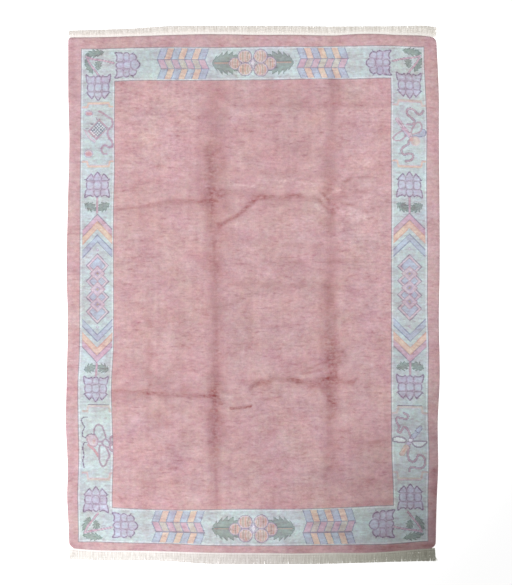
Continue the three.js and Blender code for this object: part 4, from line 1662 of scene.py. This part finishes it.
def knot_grain_group():
    """Tone and height of single knots, from their place in the weave."""
    tree, given, made = new_group("Knot grain", (
        ("Weave", "NodeSocketVector", None), ("Colour", "NodeSocketColor", (0.5, 0.5, 0.5, 1)),
        ("Knot contrast", "NodeSocketFloat", 0.1), ("Row contrast", "NodeSocketFloat", 0.06),
    ), (("Colour", "NodeSocketColor"), ("Height", "NodeSocketFloat")))
    weave = given.outputs["Weave"]
    snap = new_node(tree, "ShaderNodeVectorMath", operation="FLOOR")
    wire(tree, weave, snap.inputs[0])
    chance = new_node(tree, "ShaderNodeTexWhiteNoise", noise_dimensions="2D")
    wire(tree, snap.outputs[0], chance.inputs["Vector"])
    rows = noise(tree, weave, **ROW_NOISE)
    tone = math_node(tree, "SUBTRACT", chance.outputs["Value"], 0.5)
    tone = math_node(tree, "MULTIPLY", tone, given.outputs["Knot contrast"])
    band = math_node(tree, "SUBTRACT", rows, 0.5)
    band = math_node(tree, "MULTIPLY", band, given.outputs["Row contrast"])
    factor = math_node(tree, "ADD", math_node(tree, "ADD", tone, band), 1.0)
    wire(tree, scaled_colour(tree, given.outputs["Colour"], factor), made.inputs["Colour"])
    split = new_node(tree, "ShaderNodeSeparateXYZ")
    wire(tree, weave, split.inputs[0])
    ridges = []
    for axis in ("X", "Y"):
        turn = math_node(tree, "MULTIPLY", split.outputs[axis], 2 * math.pi)
        ridges.append(math_node(tree, "COSINE", turn))
    dip = math_node(tree, "ADD", math_node(tree, "MULTIPLY", ridges[0], RIDGE_ACROSS), ridges[1])
    dip = math_node(tree, "MULTIPLY", dip, RIDGE_DEPTH)
    height = math_node(tree, "SUBTRACT", chance.outputs["Value"], dip)
    wire(tree, height, made.inputs["Height"])
    return tree


knot_grain = knot_grain_group()
print("group", knot_grain.name, "nodes", len(knot_grain.nodes))

# %% Fibre fuzz, a shared group
FUZZ_DETAIL = 3.0


def fibre_fuzz_group():
    """Fine fibres: a height and a tone that change within a millimetre."""
    tree, given, made = new_group("Fibre fuzz", (
        ("Place", "NodeSocketVector", None), ("Colour", "NodeSocketColor", (0.5, 0.5, 0.5, 1)),
        ("Contrast", "NodeSocketFloat", 0.12), ("Scale", "NodeSocketFloat", 900.0),
    ), (("Colour", "NodeSocketColor"), ("Height", "NodeSocketFloat")))
    fuzz = new_node(tree, "ShaderNodeTexNoise")
    fuzz.inputs["Detail"].default_value = FUZZ_DETAIL
    wire(tree, given.outputs["Scale"], fuzz.inputs["Scale"])
    wire(tree, given.outputs["Place"], fuzz.inputs["Vector"])
    tone = math_node(tree, "SUBTRACT", fuzz.outputs["Fac"], 0.5)
    tone = math_node(tree, "MULTIPLY", tone, given.outputs["Contrast"])
    factor = math_node(tree, "ADD", tone, 1.0)
    wire(tree, scaled_colour(tree, given.outputs["Colour"], factor), made.inputs["Colour"])
    wire(tree, fuzz.outputs["Fac"], made.inputs["Height"])
    return tree


fibre_fuzz = fibre_fuzz_group()
print("group", fibre_fuzz.name, "nodes", len(fibre_fuzz.nodes))

# %% Cloth materials in general
CLOTH_SPECULAR = 0.2


def new_material(name, roughness, sheen, sheen_roughness):
    """A matte material with a cloth's soft sheen, and its shader."""
    material = bpy.data.materials.new(name)
    material.use_nodes = True
    shader = material.node_tree.nodes["Principled BSDF"]
    shader.inputs["Roughness"].default_value = roughness
    shader.inputs["Specular IOR Level"].default_value = CLOTH_SPECULAR
    shader.inputs["Sheen Weight"].default_value = sheen
    shader.inputs["Sheen Roughness"].default_value = sheen_roughness
    return material, material.node_tree, shader


def place_group(tree, group, **values):
    """A shared group placed in a material with its own values."""
    node = new_node(tree, "ShaderNodeGroup", node_tree=group)
    for label, value in values.items():
        socket = node.inputs[label.replace("_", " ")]
        if hasattr(value, "is_output"):
            wire(tree, value, socket)
        else:
            socket.default_value = value
    return node


def add_bump(tree, shader, height, strength, distance):
    """Height turned into a bumpy surface for the light alone."""
    bump = new_node(tree, "ShaderNodeBump")
    bump.inputs["Strength"].default_value = strength
    bump.inputs["Distance"].default_value = distance
    wire(tree, height, bump.inputs["Height"])
    wire(tree, bump.outputs["Normal"], shader.inputs["Normal"])


print("cloth specular", CLOTH_SPECULAR)

# %% [markdown]
# The pile itself: each knot's yarn, a little lighter or darker knot by knot and row by row.
# Yarn dyed by hand drifts in hue, so the colour drifts over a few knots and again over a wide
# patch. Painted sheen and shade show where the pile leans one way, and in the creases painted
# shade makes it a deeper rose. The wool is matte, with a faint sheen at a low angle.

# %% Hand-dyed yarn
FINE_DRIFT = dict(size=60.0, depth=0.18)
WIDE_DRIFT = dict(size=9.0, depth=0.17)
DRIFT_DETAIL = 3.0


def dyed(tree, colour, place, size, depth):
    """The same colour with the drifts of hue that hand-dyed yarn has."""
    drift = new_node(tree, "ShaderNodeTexNoise")
    drift.inputs["Scale"].default_value = size
    drift.inputs["Detail"].default_value = DRIFT_DETAIL
    wire(tree, place, drift.inputs["Vector"])
    scale = new_node(tree, "ShaderNodeVectorMath", operation="MULTIPLY_ADD")
    wire(tree, drift.outputs["Color"], scale.inputs[0])
    scale.inputs[1].default_value = (depth, depth, depth)
    scale.inputs[2].default_value = [1 - depth / 2] * 3
    product = new_node(tree, "ShaderNodeVectorMath", operation="MULTIPLY")
    wire(tree, colour, product.inputs[0])
    wire(tree, scale.outputs[0], product.inputs[1])
    return product.outputs[0]


print("drifts of hue, share", FINE_DRIFT["depth"], "and", WIDE_DRIFT["depth"])

# %% Tone of the pile
# Layers of tone from wide to fine: how fine each is, its detail, its stretch along X, Y and Z,
# and how far it moves the tone. The streaks and the combed lines are drawn out one way.
TONES = dict(
    cloud=dict(scale=7.0, detail=3.0, stretch=(1.0, 1.6, 1.0), depth=0.40),
    blotch=dict(scale=24.0, detail=2.0, stretch=(0.9, 1.3, 1.0), depth=0.40),
    streak=dict(scale=30.0, detail=3.0, stretch=(0.32, 1.9, 1.0), depth=0.26),
    mottle=dict(scale=95.0, detail=4.0, stretch=(0.62, 1.0, 1.0), depth=0.48),
    combing=dict(scale=24.0, detail=2.0, stretch=(1.9, 0.12, 1.0), depth=0.20),
)
DARK_FLECKS = dict(scale=60.0, detail=3.0, stretch=(0.55, 1.5, 1.0))
FLECKS_ABOVE = 0.56
FLECKS_LEVEL = 0.565
FLECKS_DEPTH = -1.1
GRIT_OF_STREAK = 0.5
GRIT_GAIN = 3.3
GRIT_LEVEL = -1.48


def pile_tone(tree, place):
    """The tone's change from the mean, and the grit that breaks up the creases."""
    layers = {}
    for name, layer in TONES.items():
        layers[name] = noise(tree, place, layer["scale"], layer["detail"], layer["stretch"])
    flecks = math_node(tree, "MAXIMUM", noise(tree, place, **DARK_FLECKS), FLECKS_ABOVE)
    tone = math_node(tree, "SUBTRACT", flecks, FLECKS_LEVEL)
    tone = math_node(tree, "MULTIPLY", tone, FLECKS_DEPTH)
    for name, layer in TONES.items():
        part = math_node(tree, "SUBTRACT", layers[name], 0.5)
        part = math_node(tree, "MULTIPLY", part, layer["depth"])
        tone = math_node(tree, "ADD", tone, part)
    grit = math_node(tree, "MULTIPLY", layers["streak"], GRIT_OF_STREAK)
    grit = math_node(tree, "ADD", grit, layers["mottle"])
    grit = math_node(tree, "ADD", math_node(tree, "MULTIPLY", grit, GRIT_GAIN), GRIT_LEVEL)
    return tone, grit


print("layers of tone", list(TONES))

# %% Wool pile material
# Painted shade: creases and other shaded places are multiplied towards this deeper rose.
PAINTED_SHADE_ROSE = (0.46, 0.185, 0.185)
WARMTH = (0.78, 1.22, 1.12)
PALER_SHARE = -0.9
KNOT_HEIGHT = 0.6


def pile_material():
    """The wool: yarn, grain, fuzz, tone and hue, with painted shade, a deeper rose, and painted light.
    """
    material, tree, shader = new_material(
        "wool_pile", roughness=0.92, sheen=0.25, sheen_roughness=0.5,
    )
    weave = new_node(tree, "ShaderNodeUVMap", uv_map="Weave").outputs[0]
    place = new_node(tree, "ShaderNodeTexCoord").outputs["Object"]
    yarn = new_node(tree, "ShaderNodeVertexColor", layer_name="yarn").outputs["Color"]
    grain = place_group(
        tree, knot_grain, Weave=weave, Colour=yarn, Knot_contrast=0.13, Row_contrast=0.26,
    )
    fuzz = place_group(
        tree, fibre_fuzz, Place=place, Colour=grain.outputs["Colour"], Contrast=0.35, Scale=700.0,
    )
    shade = new_node(tree, "ShaderNodeAttribute", attribute_name="shade").outputs["Fac"]
    tone, grit = pile_tone(tree, place)
    # Below nought the shade attribute is painted light: a paler tone, broken up by grit.
    paler = math_node(tree, "MULTIPLY", math_node(tree, "MINIMUM", shade, 0.0), PALER_SHARE)
    paler = math_node(tree, "MULTIPLY", paler, grit)
    warm = new_node(tree, "ShaderNodeVectorMath", operation="MULTIPLY_ADD")
    wire(tree, math_node(tree, "ADD", tone, paler), warm.inputs[0])
    warm.inputs[1].default_value = WARMTH
    warm.inputs[2].default_value = (1, 1, 1)
    toned = new_node(tree, "ShaderNodeVectorMath", operation="MULTIPLY")
    hued = dyed(tree, fuzz.outputs["Colour"], place, **FINE_DRIFT)
    wire(tree, dyed(tree, hued, place, **WIDE_DRIFT), toned.inputs[0])
    wire(tree, warm.outputs[0], toned.inputs[1])
    # Above nought it is painted shade: the colour is multiplied towards a deeper rose.
    deeper = math_node(tree, "MULTIPLY", math_node(tree, "MAXIMUM", shade, 0.0), grit, clamp=True)
    mix = new_node(tree, "ShaderNodeMix", data_type="RGBA", blend_type="MULTIPLY")
    wire(tree, deeper, mix.inputs["Factor"])
    wire(tree, toned.outputs[0], mix.inputs[6])
    mix.inputs[7].default_value = (*PAINTED_SHADE_ROSE, 1)
    wire(tree, mix.outputs[2], shader.inputs["Base Color"])
    knots = math_node(tree, "MULTIPLY", grain.outputs["Height"], KNOT_HEIGHT)
    height = math_node(tree, "ADD", knots, fuzz.outputs["Height"])
    add_bump(tree, shader, height, strength=0.55, distance=1.2 * MM)
    return material


rug_mesh.materials.append(pile_material())
print("materials on the pile", [material.name for material in rug_mesh.materials])

# %% [markdown]
# The warp ends make the fringe: hundreds of thin cream cotton yarns, each of two twisted plies,
# that lie in untidy bunches past a strip of plain weave. Each yarn is a thin tube with an oval
# section that turns along it, so the twist is real. All yarns and the strip of one end are one
# mesh, and it stands for that end's solid.

# %% Loose yarns
YARNS_PER_END = 1170
YARN_RADIUS = 1.65 * MM
YARN_RINGS = 9
FRINGE_ENDS = (
    dict(name="head_fringe", end="head", side=1, heading=14 * MM, seed=31),
    dict(name="foot_fringe", end="foot", side=-1, heading=12 * MM, seed=47),
)
# How far yarns stray: shares of their spacing for root and gather, of their length otherwise.
# Every second yarn lies under the others and strays less, by the share called under.
STRAY = dict(under=0.15, root=0.4, reach=0.03, gather=0.2, lean=0.08, swing=0.07, curl=0.06)
BUNCH_SIZES = (3, 11)
GATHER_POWER = 1.3
SWING_POWER = 1.5
CURL_TURNS = (1, 2.2)
LAYER_HEIGHTS = (1.2, 2.2)
SAG_REACH = 1.15
LYING = 0.9
ROOT_LIFT = 0.5 * MM
SHORTEST = 10 * MM
ROOT_LAP = 3 * MM


def bunches(count, draw):
    """Centre and lean of the bunch that each yarn belongs to."""
    centres = np.zeros(count)
    leans = np.zeros(count)
    at = 0
    while at < count:
        size = int(draw.integers(*BUNCH_SIZES))
        end = min(at + size, count)
        centres[at:end] = (at + end - 1) / 2
        leans[at:end] = draw.normal(0, STRAY["lean"])
        at += size
    return centres, leans


def yarn_paths(spec, edge, reach_at, from_x, to_x):
    """Middle lines of the yarns: one row of points for each."""
    draw = np.random.default_rng(spec["seed"])
    count = YARNS_PER_END
    pitch = (to_x - from_x) / count
    number = np.arange(count)
    loose = np.where(number % 2, 1.0, STRAY["under"])
    stray = draw.uniform(-STRAY["root"], STRAY["root"], count) * pitch * loose
    root_x = from_x + (number + 0.5) * pitch + stray
    centres, leans = bunches(count, draw)
    reach = reach_at(root_x) * (1 + draw.uniform(-STRAY["reach"], STRAY["reach"], count) * loose)
    length = np.maximum(reach - spec["heading"], SHORTEST) + ROOT_LAP
    t = np.linspace(0, 1, YARN_RINGS)[None, :]
    gather = (centres - number) * pitch * draw.uniform(0.0, STRAY["gather"], count) * loose
    swing = (leans + draw.normal(0, STRAY["swing"], count)) * length * loose
    curl = draw.normal(0, STRAY["curl"], count) * length * loose
    x = root_x[:, None] + gather[:, None] * t**GATHER_POWER + swing[:, None] * t**SWING_POWER
    x = x + curl[:, None] * np.sin(t * math.pi * draw.uniform(*CURL_TURNS, count)[:, None])
    start = edge(root_x) + spec["side"] * (spec["heading"] - ROOT_LAP)
    y = start[:, None] + spec["side"] * length[:, None] * t
    layer = np.where(number % 2, draw.uniform(*LAYER_HEIGHTS, count), 0.0) * MM
    sag = np.sin(np.clip(t * SAG_REACH, 0, 1) * math.pi)
    z = YARN_RADIUS * LYING + layer[:, None] * sag + ROOT_LIFT * (1 - t)
    return np.stack([x, y, z], axis=2)


print("yarns in each fringe", YARNS_PER_END)

# %% Twisted tubes
YARN_SIDES = 6
YARN_TWIST = math.radians(70)
YARN_OVAL = 0.24
TAPER_FROM = 0.85
TAPER_TO = 0.7


def tubes(paths):
    """Closed tubes with a turning oval section along many paths of equal count."""
    count, rings, _ = paths.shape
    ahead = np.gradient(paths, axis=1)
    ahead /= np.linalg.norm(ahead, axis=2, keepdims=True)
    side = np.cross(ahead, np.array([0.0, 0.0, 1.0]))
    side /= np.linalg.norm(side, axis=2, keepdims=True)
    up = np.cross(side, ahead)
    turn = np.arange(YARN_SIDES) * 2 * math.pi / YARN_SIDES
    twist = (np.arange(rings) * YARN_TWIST)[:, None]
    oval = 1 + YARN_OVAL * np.cos(2 * (turn[None, :] - twist))
    taper = np.interp(np.linspace(0, 1, rings), [TAPER_FROM, 1], [1.0, TAPER_TO])
    radius = YARN_RADIUS * oval * taper[:, None]
    points = (
        paths[:, :, None, :]
        + (radius * np.cos(turn))[None, :, :, None] * side[:, :, None, :]
        + (radius * np.sin(turn))[None, :, :, None] * up[:, :, None, :]
    )
    points[..., 2] = np.maximum(points[..., 2], 0.0)
    per_yarn = rings * YARN_SIDES
    faces = []
    for n in range(count):
        base = n * per_yarn
        for r in range(rings - 1):
            for s in range(YARN_SIDES):
                a = base + r * YARN_SIDES + s
                b = base + r * YARN_SIDES + (s + 1) % YARN_SIDES
                faces.append((a, b, b + YARN_SIDES, a + YARN_SIDES))
        faces.append(tuple(range(base + YARN_SIDES - 1, base - 1, -1)))
        last = base + per_yarn - YARN_SIDES
        faces.append(tuple(range(last, last + YARN_SIDES)))
    return points.reshape(-1, 3), faces


print("a yarn twists by, degrees", round(math.degrees(YARN_TWIST * (YARN_RINGS - 1))))

# %% Woven heading
STRIP_HEIGHT = 2.7 * MM
STRIP_ROWS = 8
STRIP_GAP = 0.3 * MM
STRIP_RIB = 0.28 * MM
STRIP_LIP = 0.6


def heading_strip(spec, edge, from_x, to_x, first):
    """A strip of plain weave, ribbed by its warps, as one closed sheet."""
    columns = YARNS_PER_END // 2
    x = np.linspace(from_x, to_x, columns + 1)
    share = np.linspace(0, 1, STRIP_ROWS + 1)
    inner = edge(x) + spec["side"] * STRIP_GAP
    outer = edge(x) + spec["side"] * spec["heading"]
    y = inner[None, :] + share[:, None] * (outer - inner)[None, :]
    across_ribs = np.cos(np.arange(columns + 1) * math.pi)
    along_ribs = np.cos(np.arange(STRIP_ROWS + 1) * math.pi)
    z = STRIP_HEIGHT + STRIP_RIB * (across_ribs[None, :] * along_ribs[:, None])
    z[-1] *= STRIP_LIP
    top = np.stack([np.broadcast_to(x, y.shape), y, z], axis=2).reshape(-1, 3)
    under = top.copy()
    under[:, 2] = 0.0
    width = columns + 1
    total = len(top)
    faces = []
    for r in range(STRIP_ROWS):
        for c in range(columns):
            a = first + r * width + c
            faces.append((a, a + 1, a + width + 1, a + width))
            faces.append((a + total, a + total + width, a + total + width + 1, a + total + 1))
    ring = [first + c for c in range(columns)]
    ring += [first + r * width + columns for r in range(STRIP_ROWS)]
    ring += [first + STRIP_ROWS * width + c for c in range(columns, 0, -1)]
    ring += [first + r * width for r in range(STRIP_ROWS, 0, -1)]
    for a, b in zip(ring, ring[1:] + ring[:1]):
        faces.append((a, a + total, b + total, b))
    return np.vstack([top, under]), faces


print("heading rows", STRIP_ROWS)

# %% Fringes
SIDE_PAST = 4 * MM


def end_edge(end):
    """Where the pile ends, as a function of the place across."""
    bulge = curve_through(END_EDGES["across"], END_EDGES[end])
    sign = 1 if end == "head" else -1
    return lambda x: sign * (HALF_LENGTH * MM + bulge(x))


def fringe(spec):
    """The loose yarns and the heading of one end, as one piece."""
    edge = end_edge(spec["end"])
    reach_at = curve_through(END_EDGES["across"], END_EDGES[spec["end"] + "_reach"])
    low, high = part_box(spec["name"])
    from_x, to_x = low[0] - shift_x - SIDE_PAST, high[0] - shift_x + SIDE_PAST
    tube_points, tube_faces = tubes(yarn_paths(spec, edge, reach_at, from_x, to_x))
    strip_points, strip_faces = heading_strip(spec, edge, from_x, to_x, len(tube_points))
    points = np.vstack([tube_points, strip_points]) + np.array([shift_x, shift_y, 0.0])
    if spec["side"] < 0:
        strip_faces = [face[::-1] for face in strip_faces]
    mesh = bpy.data.meshes.new(spec["name"] + "_yarns")
    mesh.from_pydata(points.tolist(), [], tube_faces + strip_faces)
    piece = bpy.data.objects.new(spec["name"] + "_yarns", mesh)
    bpy.context.collection.objects.link(piece)
    mesh.shade_smooth()
    parts = np.repeat([0, 1], [len(tube_faces), len(strip_faces)])
    mesh.polygons.foreach_set("material_index", parts.astype(np.int32))
    print(spec["name"], "faces", len(mesh.polygons), "reach", points[:, 1].min(), points[:, 1].max())
    return piece


fringes = [fringe(spec) for spec in FRINGE_ENDS]

# %% [markdown]
# Warp yarn is undyed cotton: nearly white, matte, and a little darker where yarns lie in each
# other's shade. Each end has a ramp of tints from left to right; at the foot it is dirt where feet
# pass, and painted shade that darkens the right end. The heading is the same cotton with painted
# light: a little lighter, to offset the shade of its ribs.

# %% Cotton warp material
COTTON_LIGHT = (250, 247, 244)
COTTON_NOISE = dict(scale=60.0, detail=2.0, stretch=(4.0, 0.4, 1.0))
COTTON_RAMP = (0.3, 0.7)
DIRT_SHADE_WIDTH = 1.7


def warp_material(name, darkest, dirt_and_shade):
    """Undyed cotton. The tints are a list of places across the rug: dirt, and painted shade."""
    material, tree, shader = new_material(
        name, roughness=0.88, sheen=0.15, sheen_roughness=0.5,
    )
    place = new_node(tree, "ShaderNodeTexCoord").outputs["Object"]
    tint = new_node(tree, "ShaderNodeValToRGB")
    ends = zip(tint.color_ramp.elements, (darkest, COTTON_LIGHT), COTTON_RAMP)
    for element, colour, position in ends:
        element.color = (*linear(colour), 1)
        element.position = position
    wire(tree, noise(tree, place, **COTTON_NOISE), tint.inputs["Fac"])
    split = new_node(tree, "ShaderNodeSeparateXYZ")
    wire(tree, place, split.inputs[0])
    across = math_node(tree, "DIVIDE", split.outputs["X"], DIRT_SHADE_WIDTH)
    across = math_node(tree, "ADD", across, 0.5)
    dirt_shade_ramp = new_node(tree, "ShaderNodeValToRGB")
    while len(dirt_shade_ramp.color_ramp.elements) < len(dirt_and_shade):
        dirt_shade_ramp.color_ramp.elements.new(0.5)
    for element, (position, colour) in zip(dirt_shade_ramp.color_ramp.elements, dirt_and_shade):
        element.position = position
        element.color = (*colour, 1)
    wire(tree, across, dirt_shade_ramp.inputs["Fac"])
    dimmed = new_node(tree, "ShaderNodeVectorMath", operation="MULTIPLY")
    wire(tree, tint.outputs["Color"], dimmed.inputs[0])
    wire(tree, dirt_shade_ramp.outputs["Color"], dimmed.inputs[1])
    fuzz = place_group(
        tree, fibre_fuzz, Place=place, Colour=dimmed.outputs[0], Contrast=0.3, Scale=1400.0,
    )
    wire(tree, fuzz.outputs["Colour"], shader.inputs["Base Color"])
    add_bump(tree, shader, fuzz.outputs["Height"], strength=0.5, distance=0.6 * MM)
    return material


HEAD_SOILING = [(0.0, (1.0, 0.98, 0.97)), (1.0, (1.0, 1.0, 0.97))]
# At the foot the tints are dirt where feet pass and, towards the right end, painted shade.
FOOT_DIRT_AND_SHADE = [
    (0.2, (1.0, 1.0, 1.0)), (0.5, (0.88, 0.86, 0.86)),
    (0.83, (0.80, 0.82, 0.74)), (1.0, (0.62, 0.64, 0.55)),
]
# The heading's lighter darkest tint is painted light, offsetting the shade of its ribs.
DARKEST_COTTON = dict(cotton=(222, 216, 210), heading=(236, 232, 229))
for piece, dirt_and_shade in zip(fringes, (HEAD_SOILING, FOOT_DIRT_AND_SHADE)):
    for part, darkest in DARKEST_COTTON.items():
        piece.data.materials.append(warp_material(piece.name + "_" + part, darkest, dirt_and_shade))
    print(piece.name, [material.name for material in piece.data.materials])

# %% [markdown]
# A plain, nearly white floor and soft light. The floor glows a little of itself, so it stays
# white right up to the rug. The lamp is a soft spot, high over the left side and aimed at the
# upper left. The lower right corner lies at its edge and is a little darker, as in the
# photograph. A white sky fills in the rest.

# %% Floor
FLOOR_RADIUS = 80
FLOOR_DROP = 0.6 * MM
FLOOR_TONE = 0.93
FLOOR_GLOW = 0.64
bpy.ops.mesh.primitive_circle_add(
    vertices=96, radius=FLOOR_RADIUS, fill_type="NGON", location=(0, 0, -FLOOR_DROP),
)
floor = bpy.context.object
floor.name = "floor"
floor_material = bpy.data.materials.new("pale_floor")
floor_material.use_nodes = True
floor_shader = floor_material.node_tree.nodes["Principled BSDF"]
floor_shader.inputs["Base Color"].default_value = (FLOOR_TONE, FLOOR_TONE, FLOOR_TONE, 1)
floor_shader.inputs["Roughness"].default_value = 1.0
floor_shader.inputs["Specular IOR Level"].default_value = 0.0
floor_shader.inputs["Emission Color"].default_value = (1, 1, 1, 1)
floor_shader.inputs["Emission Strength"].default_value = FLOOR_GLOW
floor.data.materials.append(floor_material)
print("floor below the rug, mm", FLOOR_DROP / MM)

# %% Lamp and room light
KEY_PLACE = (-1.84, -1.55, 6.5)
KEY_AIM = (-1.31, 0.53, 0.0)
KEY_CONE = 0.77
KEY_BLEND = 0.36
KEY_POWER = 1622
KEY_SIZE = 0.45
ROOM_LIGHT = 0.36
key_data = bpy.data.lights.new("key_light", "SPOT")
key_data.energy = KEY_POWER
key_data.spot_size = KEY_CONE
key_data.spot_blend = KEY_BLEND
key_data.shadow_soft_size = KEY_SIZE
key_light = bpy.data.objects.new("key_light", key_data)
bpy.context.collection.objects.link(key_light)
key_light.location = KEY_PLACE
key_way = Vector(KEY_AIM) - Vector(KEY_PLACE)
key_light.rotation_euler = key_way.to_track_quat("-Z", "Y").to_euler()
world = bpy.data.worlds.new("soft_room")
bpy.context.scene.world = world
world.use_nodes = True
world.node_tree.nodes["Background"].inputs["Color"].default_value = (1, 1, 1, 1)
world.node_tree.nodes["Background"].inputs["Strength"].default_value = ROOM_LIGHT
bpy.context.scene.view_settings.view_transform = "Standard"
print("lamp stands, m from where it points", round(key_way.length, 2))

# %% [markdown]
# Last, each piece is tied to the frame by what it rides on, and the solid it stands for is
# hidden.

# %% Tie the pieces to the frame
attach(rug, "root")
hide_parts("rug_body")
for piece, spec in zip(fringes, FRINGE_ENDS):
    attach(piece, "root")
    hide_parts(spec["name"])
